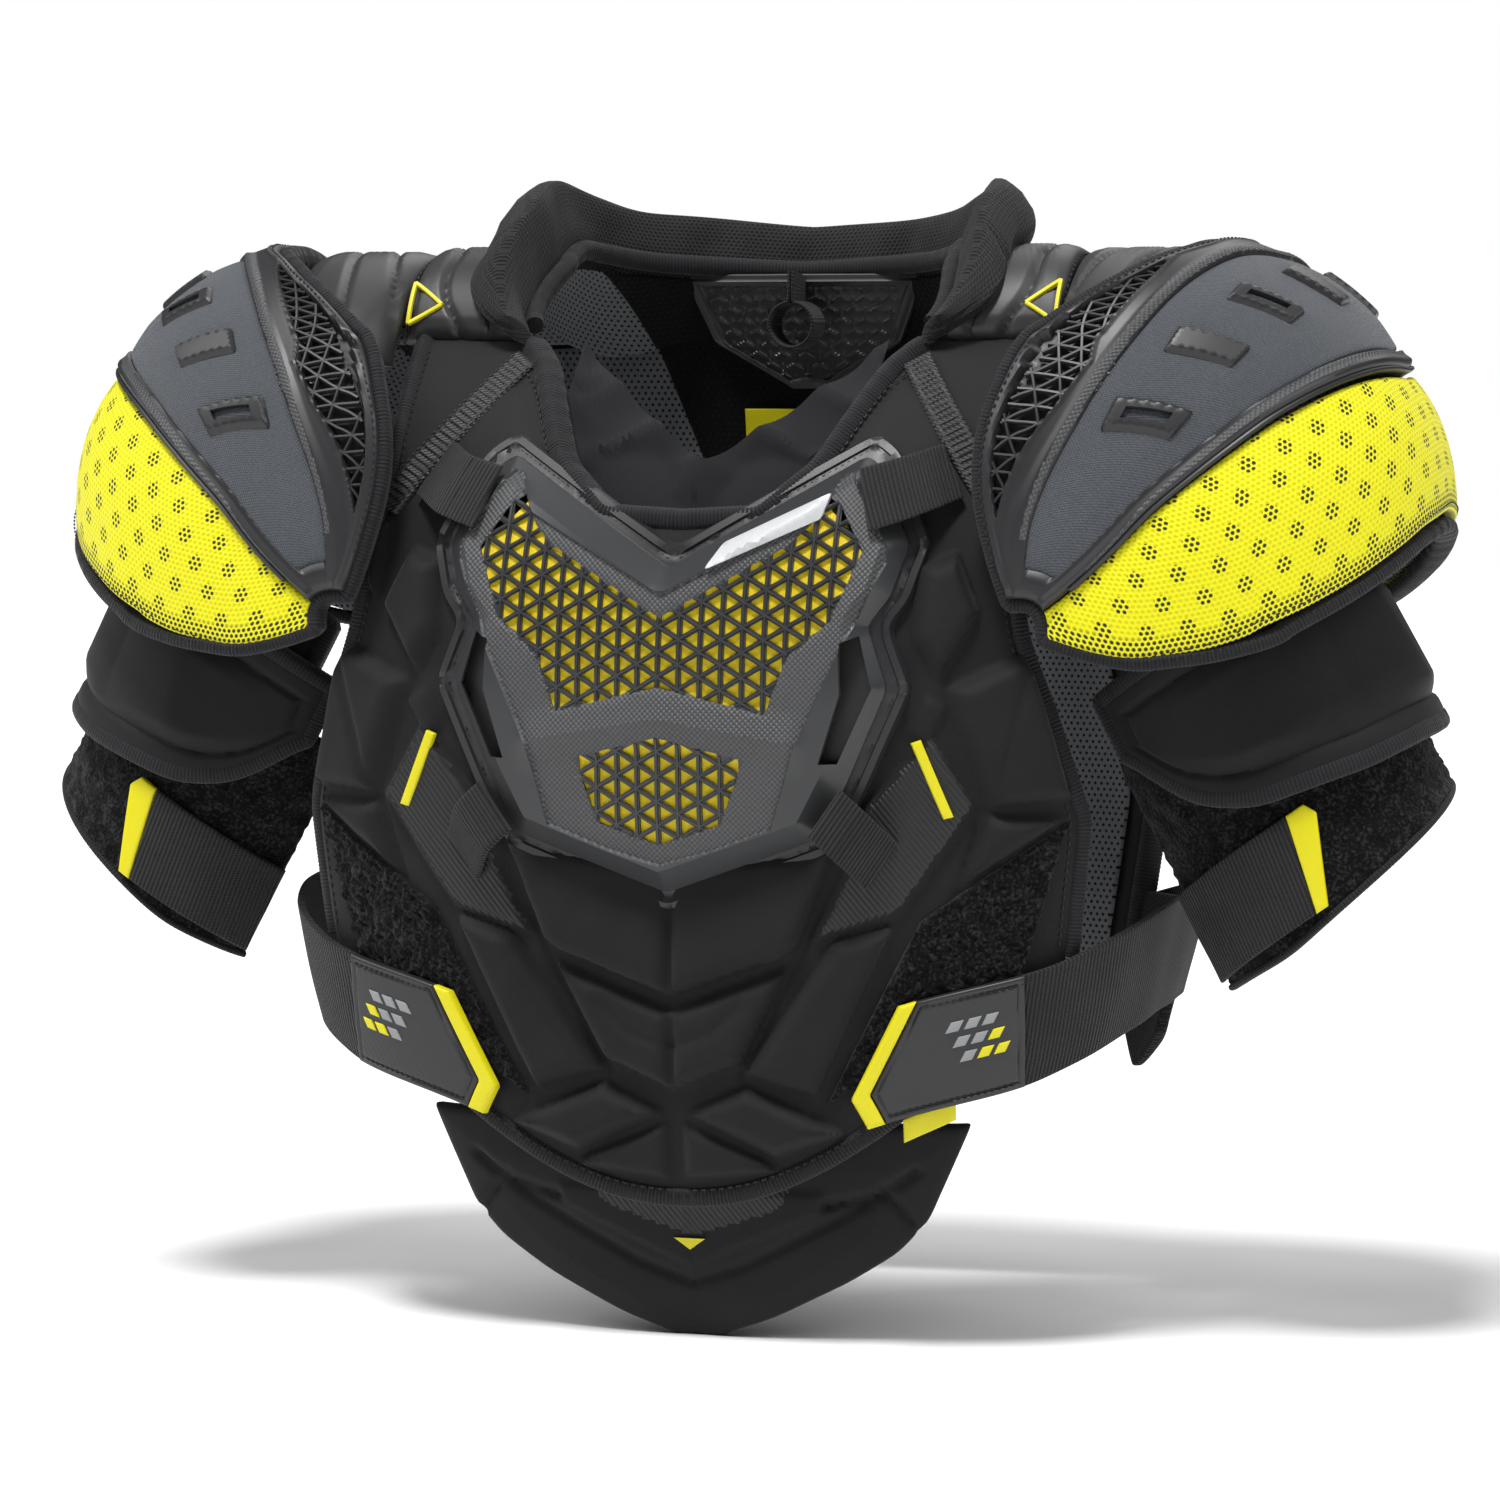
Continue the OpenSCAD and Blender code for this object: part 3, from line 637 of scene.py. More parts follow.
class Shader:
    """Builds a node material in a few calls. Sockets go in and come out."""

    def __init__(self, name):
        self.material = bpy.data.materials.new(name)
        self.material.use_nodes = True
        self.tree = self.material.node_tree
        self.bsdf = self.tree.nodes["Principled BSDF"]
        parts = self.node("ShaderNodeSeparateXYZ", self.node("ShaderNodeUVMap", uv_map="mm")["UV"])
        self.u, self.v = parts["X"], parts["Y"]
        self.place = self.node("ShaderNodeTexCoord")["Object"]

    def node(self, kind, *values, **settings):
        made = self.tree.nodes.new(kind)
        for key, value in settings.items():
            setattr(made, key, value)
        for socket, value in zip(made.inputs, values):
            self.put(socket, value)
        return made.outputs

    def put(self, socket, value):
        if isinstance(value, bpy.types.NodeSocket):
            self.tree.links.new(value, socket)
        elif value is not None:
            socket.default_value = value

    def put_colour(self, socket, value):
        self.put(socket, (*value, 1) if isinstance(value, tuple) else value)

    def math(self, operation, a, b=None, c=None):
        return self.node("ShaderNodeMath", a, b, c, operation=operation)[0]

    def total(self, a, by_a, b, by_b):
        """The sum of two values, each multiplied by its weight."""
        return self.math("ADD", self.math("MULTIPLY", a, by_a), self.math("MULTIPLY", b, by_b))

    def minus(self, value):
        return self.math("SUBTRACT", 1.0, value)

    def noise(self, scale, detail=3.0):
        made = self.tree.nodes.new("ShaderNodeTexNoise")
        self.put(made.inputs["Vector"], self.place)
        made.inputs["Scale"].default_value = scale
        made.inputs["Detail"].default_value = detail
        return made.outputs["Fac"]

    def step(self, value, low, high):
        """0 below low, 1 above high, smooth between."""
        made = self.tree.nodes.new("ShaderNodeMapRange")
        made.interpolation_type = "SMOOTHSTEP"
        for name, given in (("Value", value), ("From Min", low), ("From Max", high)):
            self.put(made.inputs[name], given)
        return made.outputs["Result"]

    def blend(self, factor, a, b):
        made = self.tree.nodes.new("ShaderNodeMix")
        made.data_type = "RGBA"
        self.put(made.inputs["Factor"], factor)
        self.put_colour(made.inputs[6], a)
        self.put_colour(made.inputs[7], b)
        return made.outputs[2]

    def wave(self, coordinate, pitch):
        """0 to 1 and back every pitch mm."""
        turned = self.math("MULTIPLY", coordinate, 2 * math.pi / pitch)
        return self.math("MULTIPLY_ADD", self.math("SINE", turned), 0.5, 0.5)

    def slanted(self, across, along):
        """A coordinate that runs across mm in u and along mm in v."""
        return self.total(self.u, across, self.v, along)

    def weave(self, pitch_u, pitch_v):
        """Staggered bumps, as in a plain weave or knit."""
        a = self.math("SINE", self.math("MULTIPLY", self.u, 2 * math.pi / pitch_u))
        b = self.math("SINE", self.math("MULTIPLY", self.v, 2 * math.pi / pitch_v))
        return self.math("MULTIPLY_ADD", self.math("MULTIPLY", a, b), 0.5, 0.5)

    def dots(self, pitch, aspect):
        """Distance in mm to the nearest point of a hexagonal grid."""
        found = []
        for offset in (0.0, 0.5):
            squares = []
            for coordinate, size in ((self.u, pitch), (self.v, pitch * aspect)):
                cell = self.math("MULTIPLY_ADD", coordinate, 1 / size, offset)
                gap = self.math("SUBTRACT", self.math("FRACT", cell), 0.5)
                far = self.math("ABSOLUTE", self.math("MULTIPLY", gap, size))
                squares.append(self.math("POWER", far, 2.0))
            found.append(self.math("SQRT", self.math("ADD", *squares)))
        return self.math("MINIMUM", *found)

    def finish(self, colour, rough, height=None, depth=0.3, sheen=0.0, specular=0.5):
        """Sets the surface. height is 0 to 1 and stands for depth millimetres."""
        self.put_colour(self.bsdf.inputs["Base Color"], colour)
        self.put(self.bsdf.inputs["Roughness"], rough)
        self.bsdf.inputs["Specular IOR Level"].default_value = specular
        self.bsdf.inputs["Sheen Weight"].default_value = sheen
        if height is not None:
            bump = self.tree.nodes.new("ShaderNodeBump")
            bump.inputs["Strength"].default_value = 1.0
            bump.inputs["Distance"].default_value = depth * MM
            self.put(bump.inputs["Height"], height)
            self.put(self.bsdf.inputs["Normal"], bump.outputs["Normal"])
        return self.material


def shaded(colour, factor):
    return tuple(c * factor for c in colour)


def knit(name, dark, light, pitch=1.1, depth=0.12, rough=0.8):
    """Fine matt knit over foam, a little worn and dusty in broad patches, with painted shade
    between its raised loops and fuzz.
    """
    s = Shader(name)
    loops = s.weave(pitch, pitch * 0.7)
    broad = s.noise(14.0, 4.0)
    fuzz = s.noise(900.0, 2.0)
    # Painted shade: the raised loops and fuzz are lighter and the low places between them darker.
    # The broad patches are wear.
    loop_shading_and_wear = s.total(loops, 0.25, broad, 0.75)
    colour = s.blend(s.math("ADD", loop_shading_and_wear, s.math("MULTIPLY_ADD", fuzz, 0.3, -0.15)), dark, light)
    return s.finish(colour, s.math("MULTIPLY_ADD", broad, 0.15, rough - 0.08),
                    s.total(loops, 0.7, fuzz, 0.5), depth, 0.08, 0.15)


def spacer_mesh(name, dark, light, pitch=2.4, aspect=1.5, hole=0.55, depth=0.5):
    """Knitted mesh with small open holes in staggered rows, the holes painted dark as shade and the
    raised yarn painted lighter.
    """
    s = Shader(name)
    distance = s.dots(pitch, aspect)
    open_ = s.step(distance, hole, hole + 0.35)
    yarn = s.wave(s.slanted(1.0, 0.6), 0.8)
    broad = s.noise(20.0, 3.0)
    # Painted shade: the yarn ridges raised in the bump are lighter. Broad patches vary at random.
    body = s.blend(s.math("MULTIPLY_ADD", yarn, 0.4, s.math("MULTIPLY", broad, 0.5)),
                   shaded(light, 0.75), light)
    height = s.math("ADD", open_, s.math("MULTIPLY", yarn, 0.15))
    # Painted shade: the holes take the dark colour.
    return s.finish(s.blend(open_, dark, body), 0.75, height, depth, 0.1, 0.2)


def webbing(name, dark, light, pitch, depth):
    """Ribbed elastic: ribs across, with a fine zigzag of yarn in each. Its colour follows their
    height: painted shade in the grooves.
    """
    s = Shader(name)
    height = s.total(s.wave(s.u, pitch), 0.75, s.wave(s.slanted(0.6, 1.0), 0.9), 0.35)
    broad = s.noise(60.0, 2.0)
    # Painted shade: darker in the grooves between the ribs and lighter on their crests, varied at
    # random in broad patches.
    colour = s.blend(s.math("MULTIPLY", height, s.math("MULTIPLY_ADD", broad, 0.5, 0.65)),
                     dark, light)
    return s.finish(colour, 0.72, height, depth, 0.1, 0.2)


def moulded(name, colour, rough):
    """Satin moulded plastic or rubber with a fine grain and slightly polished high spots."""
    s = Shader(name)
    fine, broad = s.noise(1500.0, 2.0), s.noise(9.0, 4.0)
    tone = s.blend(broad, shaded(colour, 0.8), shaded(colour, 1.25))
    return s.finish(tone, s.math("MULTIPLY_ADD", broad, 0.16, rough - 0.08), fine, 0.03)


def knurled(name, colour, pitch=1.7, depth=0.35, rough=0.5, ribs=False):
    """Moulded plastic with a field of small raised pips, or of slanting ribs, painted light on top
    and dark between as highlight and shade.
    """
    s = Shader(name)
    height = s.wave(s.slanted(1.0, 0.8), pitch) if ribs else s.weave(pitch * 1.4, pitch * 1.4)
    broad = s.noise(30.0, 3.0)
    # Painted highlight and shade: the raised pips or ribs are light and the gaps between them dark.
    tone = s.blend(s.math("MULTIPLY_ADD", height, 0.8, s.math("MULTIPLY", broad, 0.2)),
                   shaded(colour, 0.35), shaded(colour, 1.5))
    return s.finish(tone, rough, s.math("ADD", height, s.math("MULTIPLY", broad, 0.1)), depth)


def film(name, colour, rough=0.4):
    """Welded film: a bright even colour with faint fabric grain under it."""
    s = Shader(name)
    grain, broad = s.weave(1.4, 1.4), s.noise(25.0, 3.0)
    tone = s.blend(broad, shaded(colour, 0.86), colour)
    return s.finish(tone, s.math("MULTIPLY_ADD", broad, 0.2, rough - 0.1), grain, 0.06, 0, 0.4)


def yellow_mesh_material():
    """Bright mesh: fine knit, clusters of seven holes on a grid, and rows of holes by the hem.
    Dimples and holes are painted darker as shade.
    """
    s = Shader("yellow_mesh")
    hole_distance = s.dots(2.5, 1.732)
    cluster = s.dots(17.5, 1.25)
    in_cluster = s.minus(s.step(cluster, 3.3, 3.9))
    by_hem = s.minus(s.step(s.v, 6.5, 10.0))
    allowed = s.math("MAXIMUM", in_cluster, by_hem)
    hole = s.math("MULTIPLY", allowed, s.minus(s.step(hole_distance, 0.62, 0.95)))
    dimple = s.step(hole_distance, 0.2, 1.1)
    broad = s.noise(12.0, 3.0)
    # Painted shade: the knit is darker in the dimple round each hole point.
    knit_with_dimple_shade = s.blend(dimple, (0.66, 0.62, 0.0), (0.86, 0.81, 0.004))
    knit_with_dimple_shade = s.blend(s.math("MULTIPLY", broad, 0.3), knit_with_dimple_shade, (0.78, 0.76, 0.0))
    height = s.math("SUBTRACT", dimple, s.math("MULTIPLY", hole, 1.5))
    # Painted shade: the holes take a near black colour.
    return s.finish(s.blend(hole, knit_with_dimple_shade, (0.03, 0.03, 0.01)), 0.62, height, 0.3, 0.1, 0.3)


def woven_grey_material():
    """Coarse nylon weave in blue grey, lighter on its raised cells and darker where the weave lies
    low.
    """
    s = Shader("woven_grey")
    cell = s.weave(1.9, 1.3)
    yarn = s.wave(s.slanted(0.45, 1.0), 0.8)
    broad = s.noise(16.0, 3.0)
    fleck = s.noise(700.0, 2.0)
    tone = s.blend(s.total(cell, 0.5, fleck, 0.6), (0.020, 0.023, 0.028), (0.092, 0.103, 0.120))
    tone = s.blend(s.math("MULTIPLY", broad, 0.35), tone, (0.056, 0.064, 0.075))
    height = s.math("ADD", cell, s.math("MULTIPLY", yarn, 0.3))
    return s.finish(tone, 0.7, height, 0.3, 0.2, 0.35)


def back_lining_and_neck_shade_material():
    """Dark knit down the middle of the back and perforated grey liner to either side. On the neck
    facing the dark middle is painted shade, and the perforations are painted dark as shade.
    """
    s = Shader("back_lining")
    spot = s.node("ShaderNodeSeparateXYZ", s.place)
    side = s.math("SUBTRACT", s.math("ABSOLUTE", spot[0]), s.math("MULTIPLY", spot[2], 0.37))
    # The dark side of this mask is dark knit down the back, and painted shade where it falls on the
    # neck facing.
    grey = s.step(side, 0.0744, 0.0752)
    open_ = s.step(s.dots(3.1, 1.7), 0.5, 0.85)
    broad = s.noise(20.0, 3.0)
    body = s.blend(broad, (0.12, 0.125, 0.132), (0.19, 0.195, 0.205))
    # Painted shade: the perforations take a near black colour.
    liner = s.blend(open_, (0.006, 0.006, 0.007), body)
    return s.finish(s.blend(grey, (0.0025, 0.0025, 0.003), liner), 0.75, open_, 0.3, 0.05, 0.15)


def loop_pile_material():
    """Brushed loop fabric: a tangle of curls, with a painted highlight on their raised tips."""
    s = Shader("loop_pile")
    curls, clumps = s.noise(650.0, 4.0), s.noise(140.0, 3.0)
    # Painted highlight: the raised curl tips are light and the pile between them dark.
    highlit_tips = s.step(s.total(curls, 0.75, clumps, 0.3), 0.48, 0.72)
    return s.finish(s.blend(highlit_tips, (0.002, 0.002, 0.0025), (0.026, 0.026, 0.029)), 0.9,
                    s.total(curls, 0.8, clumps, 0.6), 1.2, 0.1, 0.1)


def gold_foam_material():
    s = Shader("gold_foam")
    cells, broad = s.noise(900.0, 3.0), s.noise(40.0, 3.0)
    # Painted shade: the foam cells raised in the bump are lighter and their hollows darker. Broad
    # patches vary at random.
    tone = s.blend(s.math("MULTIPLY_ADD", cells, 0.8, s.math("MULTIPLY", broad, 0.3)),
                   (0.80, 0.50, 0.0), (1.0, 0.84, 0.02))
    return s.finish(tone, 0.6, cells, 0.3, 0, 0.4)


BLACK_KNIT = knit("black_foam_knit", (0.0052, 0.0051, 0.0058), (0.0178, 0.0173, 0.0192), 1.1, 0.12,
                  0.62)
SMOOTH_KNIT = knit("gusset_jersey", (0.009, 0.009, 0.011), (0.020, 0.020, 0.024), 0.9, 0.1)
# The first colour of each mesh is the painted shade in its holes.
CHARCOAL_MESH = spacer_mesh("charcoal_mesh", (0.003, 0.003, 0.0035), (0.020, 0.020, 0.022))
WING_MESH = spacer_mesh("wing_mesh", (0.003, 0.003, 0.0035), (0.018, 0.018, 0.020), 2.0, 1.3)
LINER = spacer_mesh("perforated_liner", (0.008, 0.008, 0.009), (0.17, 0.175, 0.185), 3.1, 1.7, 0.5,
                    0.3)
DARK_LINER = knit("dark_liner", (0.003, 0.003, 0.004), (0.010, 0.010, 0.012), 1.4)
ELASTIC = webbing("black_elastic", (0.002, 0.002, 0.0025), (0.034, 0.034, 0.037), 1.9, 0.6)
BINDING = webbing("binding_tape", (0.005, 0.005, 0.006), (0.022, 0.022, 0.025), 1.6, 0.2)
PLASTIC = moulded("moulded_plastic", (0.034, 0.035, 0.037), 0.32)
KNURL = knurled("knurled_plastic", (0.062, 0.063, 0.066))
RUBBER = moulded("black_rubber", (0.020, 0.020, 0.022), 0.42)
PAD_RUBBER = moulded("shoulder_rubber", (0.030, 0.030, 0.032), 0.45)
RIB_RUBBER = knurled("ribbed_rubber", (0.026, 0.026, 0.028), 2.0, 0.3, 0.5, True)
HATCHED = knurled("hatched_film", (0.009, 0.0095, 0.0105), 2.6, 0.25, 0.55, True)
YELLOW = film("yellow_film", (0.80, 0.72, 0.006))
WHITE = film("badge_film", (0.62, 0.63, 0.64), 0.35)
GREY_PRINT = film("grey_print", (0.30, 0.31, 0.32), 0.45)
THREAD = moulded("black_thread", (0.006, 0.006, 0.007), 0.6)
YELLOW_MESH = yellow_mesh_material()
GREY_WEAVE = woven_grey_material()
LOOP_PILE = loop_pile_material()
GOLD = gold_foam_material()
BACK_LINING_AND_NECK_SHADE = back_lining_and_neck_shade_material()


# ---- cloth ---------------------------------------------------------------------------------

def settled(name, verts, quads, held, steps, **settings):
    """The vertices after a short cloth simulation, in mm. held marks the sewn vertices."""
    mesh = bpy.data.meshes.new(name)
    mesh.from_pydata([tuple(p) for p in verts * MM], [], [tuple(map(int, q)) for q in quads])
    thing = bpy.data.objects.new(name, mesh)
    bpy.context.scene.collection.objects.link(thing)
    pins = thing.vertex_groups.new(name="sewn")
    pins.add([int(k) for k in np.flatnonzero(held)], 1.0, "REPLACE")
    cloth = thing.modifiers.new("cloth", "CLOTH")
    cloth.settings.vertex_group_mass = "sewn"
    cloth.settings.quality = 6
    for key, value in settings.items():
        setattr(cloth.settings, key, value)
    scene = bpy.context.scene
    for number in range(1, steps + 1):
        scene.frame_set(number)
    placed = thing.evaluated_get(bpy.context.evaluated_depsgraph_get()).to_mesh()
    result = np.empty(len(placed.vertices) * 3)
    placed.vertices.foreach_get("co", result)
    scene.frame_set(1)
    bpy.data.objects.remove(thing)
    bpy.data.meshes.remove(mesh)
    return result.reshape(-1, 3) / MM


# ---- chest ---------------------------------------------------------------------------------

def front_panel(u, v, d):
    s = 2 * u - 1
    z = mix(hem_z(s), lut(np.abs(s), NECKLINE, 0.035), v)
    return front(s * lut(z, FRONT_SIDE, 9), z, d)


# Raised panels on the +X half of the chest: outline in (x, z), height, width of the edge.
HATCHED_PANEL = [(112, -168), (130, -199), (97, -246), (60, -258), (76, -226), (84, -200)]
CHEST_PANELS = [
    ([(134, -199), (167, -196), (152, -133), (117, -150)], 7.5, 8),
    ([(104, -99), (120, -93), (131, -118), (114, -146), (103, -130)], 7.0, 8),
    (HATCHED_PANEL, 3.2, 3),
    ([(122, -234), (166, -203), (134, -203)], 5.5, 7),
    ([(97, -248), (70, -256), (30, -313.6), (62, -322.5)], 7.5, 8),
    ([(4, -331.5), (31, -319), (76, -338), (43, -349.5)], 7.5, 9),
    ([(3, -336), (38, -350), (46, -356), (3, -361)], 4.5, 6),
    ([(64, -66), (80, -28), (96, -20), (112, -52), (96, -70), (84, -62)], 2.4, 9),
    ([(136, -118), (146, -104), (142, -76), (134, -84)], 2.4, 7),
    ([(120, -158), (110, -152), (101, -166), (108, -178)], 2.6, 5),
]
# Belly scales: outline, and the distance over which each climbs towards its lower edge.
SCALES = [
    ([(-1, -226), (74, -216), (70, -224), (55, -259), (49, -263), (-1, -282)], -218, -278),
    ([(-1, -288), (47, -269), (53, -266), (30, -309), (-1, -322)], -262, -318),
]


CHEST_CREASES = [([(-1, -303), (18, -296), (30, -284)], 5), ([(75, -226), (29, -313.6)], 3),
                 ([(150, -133), (134, -199), (122, -236)], 3.5)]


def chest_relief(g):
    x, z = np.abs(g.x), g.z
    rise = blocks(x, z, CHEST_PANELS)
    for outline, top, low in SCALES:
        inside = signed_distance(x, z, outline)
        climb = 0.3 + 0.7 * smooth((top - z + 0.35 * x) / (top - low))
        rise = np.maximum(rise, 9.0 * climb * shoulder(inside, 7))
    rise = rise - 1.6 * grooves(x, z, CHEST_CREASES)
    worn = 0.5 * waves(g.x, g.z, 60, 4) + 0.25 * waves(g.x, g.z, 22, 5)
    return rise + worn * ramp(g.edge, 14)


def chest_paint(g):
    return signed_distance(np.abs(g.x), g.z, HATCHED_PANEL) > 2.2


piece("chest_vest", slab(front_panel, VEST_IN, VEST_OUT, 1.9, 4, 0.4, chest_relief,
                         paint=chest_paint, uv=lambda g: (g.x, g.z)),
      [BLACK_KNIT, HATCHED], "root",
      ["front_vest", "rib_pads", "abdomen_pads"], 60)



def trimmed(shape):
    """The same shape, kept a little way inside its edges."""
    return lambda u, v, d: shape(mix(0.02, 0.98, u), mix(0.02, 0.98, v), d)


def quad(shape, corners):
    """The four-cornered part of a shape in (x, z, d)."""
    return lambda u, v, d: shape(*quad_map(corners, u, v), d)


piece("chest_lining", slab(trimmed(front_panel), -0.4, 1.6, 6, 1.5, uv=lambda g: (g.x, g.z)),
      [LINER], "root", ["front_lining"])

LOOP_PATCH = [(66, -326), (146, -270), (165, -206), (107, -247)]
patch = slab(quad(front, LOOP_PATCH), BLOCK_IN - 2, BLOCK_IN + 1.4, 1.3, 1.5, 0.4,
             lambda g: 0.7 * waves(g.x, g.z, 3.4, 6) + 0.6 * waves(g.x, g.z, 9, 7))
piece("belly_loop_patches", patch.both(), [LOOP_PILE], "root",
      ["loop_patches"])


def hem_path(s, lift, d):
    return front(s * lut(hem_z(s), FRONT_SIDE, 9), hem_z(s) + lift, d)


def armhole_path(v, shift, d):
    z = mix(-262, -5, v)
    return torso(angle_at(lut(z, FRONT_SIDE, 9) + shift, z), z, d)


def neck_path(s, shift, d):
    z = lut(np.abs(s), NECKLINE, 0.03) + shift
    return front(s * lut(z, FRONT_SIDE, 9), z, d)


hem = rail(hem_path, row(160, -1, 1), -2.2, 8.0)
piece("hem_tape", sweep(*hem, 4.6, 5.6, 0.55, 0.6, ribs=(1.7, 0.06)), [BINDING], "root",
      ["hem_binding"])
sewing = stitches(*rail(hem_path, row(160, -0.985, 0.985), 1.2, 13.9))
armhole = rail(armhole_path, row(90, 0, 1), 1.5, 7.5)
piece("armhole_tapes", sweep(*armhole, 4.2, 6.0, 0.6, 0.6, ribs=(1.8, 0.05)).both(), [BINDING],
      "root", ["armhole_bindings"])
sewing.join(stitches(*rail(armhole_path, row(90, 0.02, 0.98), -4.4, 12.4)).both())
neckline = rail(neck_path, row(120, -0.64, 0.64), -1.5, 9.0)
piece("neckline_tape", sweep(*neckline, 5.0, 6.2, 0.6, 0.6, ribs=(1.9, 0.05)), [BINDING], "root")
sewing.join(stitches(*rail(neck_path, row(60, 0.30, 0.60), -9.0, 13.6)).both())

# The two slanting yellow bars, the size tag and the diagonal bands at the collar bones.
CHEST_BAR = [(116, -204), (120, -203), (107, -171), (103, -172.5)]
bar = slab(quad(front, CHEST_BAR), VEST_OUT + 2.2, VEST_OUT + 4.2, 2, 0.6, 0.4)
piece("chest_bars", bar.both(), [YELLOW], "root")
TAG = [(97, -341), (118, -331), (118, -321), (97, -331)]
piece("hem_size_tag", slab(quad(front, TAG), 14.6, 15.8, 2, 0.6,
                           relief=lambda g: 0.4 * waves(g.x, g.z, 14, 8)),
      [YELLOW], "root", ["size_tag"])
BAND = [(130, -80), (141, -74), (92, -10), (82, -16)]
band = slab(quad(front, BAND), BLOCK_IN - 1.5, BLOCK_IN + 2, 0.9, 1.5, 0.4,
            lambda g: 0.5 * np.sin(2 * math.pi * g.from_v0 / 3.2) * (g.edge > 1.6))
piece("collar_bone_bands", band.both(), [RIB_RUBBER], "root", ["clavicle_bands"])
for offset in (0.06, 0.94):
    edge_line = rail(quad(front, BAND), np.full(60, offset), row(60, 0.03, 0.97), BLOCK_IN + 2.2)
    sewing.join(stitches(*edge_line, 2.2, 1.2, 0.35).both())

# The gusset under the neckline is a loose cloth, sewn at its edges, that sags into folds.
rows, cols = 56, 30
GUSSET_W, GUSSET_HALF, GUSSET_GIVE = 74, 0.8, 7
u, v = np.meshgrid(row(rows, 0, 1), row(cols, 0, 1), indexing="ij")
s = 2 * u - 1
gusset = front(GUSSET_W * s, mix(-104, -56 + 50 * np.abs(s) ** 1.1, v), -3.6)
flat_gusset = gusset.reshape(-1, 3)
sewn = np.zeros((rows, cols), bool)
sewn[[0, -1], :] = True
sewn[:, 0] = True
sewn[::9, -1] = True
sagged = settled("gusset_sim", flat_gusset, skin_faces(rows, cols)[1], sewn.ravel(), 22,
                 mass=0.25, shrink_min=-0.05, bending_stiffness=0.4, tension_stiffness=8)
move = sagged - flat_gusset
length = np.linalg.norm(move, axis=1, keepdims=True)
flat_gusset = flat_gusset + move * np.minimum(1, GUSSET_GIVE / np.maximum(length, 1e-9))
cloth = flat_gusset.reshape(rows, cols, 3)
normals = unit(np.cross(np.gradient(cloth, axis=0), np.gradient(cloth, axis=1)))
gusset_solid = double_sheet(cloth + GUSSET_HALF * normals, cloth - GUSSET_HALF * normals,
                            np.stack([GUSSET_W * s, 46 * v], -1))
piece("neck_gusset", gusset_solid, [SMOOTH_KNIT], "root", ["neckline_gusset"])

# ---- neck ----------------------------------------------------------------------------------

def collar_relief(g):
    """Rolls outwards over the shoulders, with a piped seam before each front end."""
    turn = np.abs(mix(COLLAR_END, -COLLAR_END, g.u))
    roll = 17 * smooth((turn - 58) / 26) * smooth((134 - turn) / 20)
    roll = roll * np.sin(np.pi * np.clip(g.v * 0.85 + 0.1, 0, 1)) ** 1.2
    folds = 1.5 * waves(g.su, g.sv * 0.35, 46, 11) + 0.5 * waves(g.su, g.sv, 17, 12)
    seam = -1.5 * near(g.from_v1 - 9, 2.0)
    ends = -2.6 * near(turn - 113 + 5 * g.v, 1.6)
    return roll + folds + seam + ends + 1.5 * ramp(g.edge, 12)


def collar_shape(u, v, d):
    g = mix(COLLAR_END, -COLLAR_END, u)
    return collar(g, v + 0.04 * waves(g * 1.3, v, 60, 13) * v, d)


collar_pad = slab(collar_shape, 0, 8, 1.7, 9, 0.3, collar_relief,
                  lambda g: 1.2 * waves(g.su, g.sv, 30, 14))
piece("neck_collar", collar_pad, [CHARCOAL_MESH], "root", ["collar_pad"])
roll = rail(collar, row(130, -124, 124), 0.24, -3.4)
piece("collar_roll", sweep(*roll, 4.6, 4.0, 0.7, 0.9, ribs=(1.9, 0.05)), [BINDING], "root",
      ["collar_binding"])
for end in (-117, 117):
    path, normal = rail(collar, np.full(30, end), row(30, 0, 1), 8.6)
    sewing.join(stitches(path[2:-2], normal[2:-2], 2.2, 1.4, 0.4))

# A facing closes the neck between the foot of the collar, the back and the shoulder liners.
FACING = [(0, 0, 92, 4), (30, 50, 91, -2), (50, 84, 87, -12), (65, 105, 80, -11), (80, 114, 50, 4),
          (95, 111, 14, 16), (108, 107, -8, 6)]


def facing_shape(u, v, d):
    g = mix(108, -108, u)
    foot = collar(g, 0.03, 0.5 - np.asarray(d, float))
    x, y, z = (lut(np.abs(g), [(row_[0], row_[k]) for row_ in FACING], 8) for k in (1, 2, 3))
    end = point(np.sign(g) * x * np.minimum(1, np.abs(g) / 4), y, z)
    v = np.asarray(v)[..., None]
    return mix(foot, end, v) - (0, 0, 1) * np.asarray(d)[..., None] * v


# The liner's dark middle on this facing is painted shade inside the neck.
piece("neck_facing", slab(facing_shape, -0.8, 1.2, 3, 1), [BACK_LINING_AND_NECK_SHADE], "root")

# The hanging loop: one ribbon, down from the collar, round the ring and back up.
LOOP_R, LOOP_Y, LOOP_Z, RIBBON_HALF = 9.4, 71.0, 2.0, 0.8
turn = np.radians(row(60, 96, 444))
ring_path = point((LOOP_R + RIBBON_HALF) * np.cos(turn), LOOP_Y,
                  LOOP_Z + (LOOP_R + RIBBON_HALF) * np.sin(turn))
tail = np.array([[-0.9, LOOP_Y + 1, 25.0], [-0.9, LOOP_Y, 18.0]])
path = np.concatenate([tail, ring_path, tail[::-1] * (-1, 1, 1)])
ribbon = sweep(path, np.tile([0.0, 1.0, 0.0], (len(path), 1)), RIBBON_HALF, 9.8, 1.2, 0.35,
               12)
piece("hanging_loop", ribbon, [BINDING], "root", ["hang_loop"])


# The spine pad inside the back: a glossy shield with a raised border and a field of Y marks.
def shield(u, v, d):
    z = mix(-27, 25, v)
    half = lut(z, [(-27, 8), (-6, 47), (25, 61)], 2)
    return back(half * (2 * u - 1), z, d)


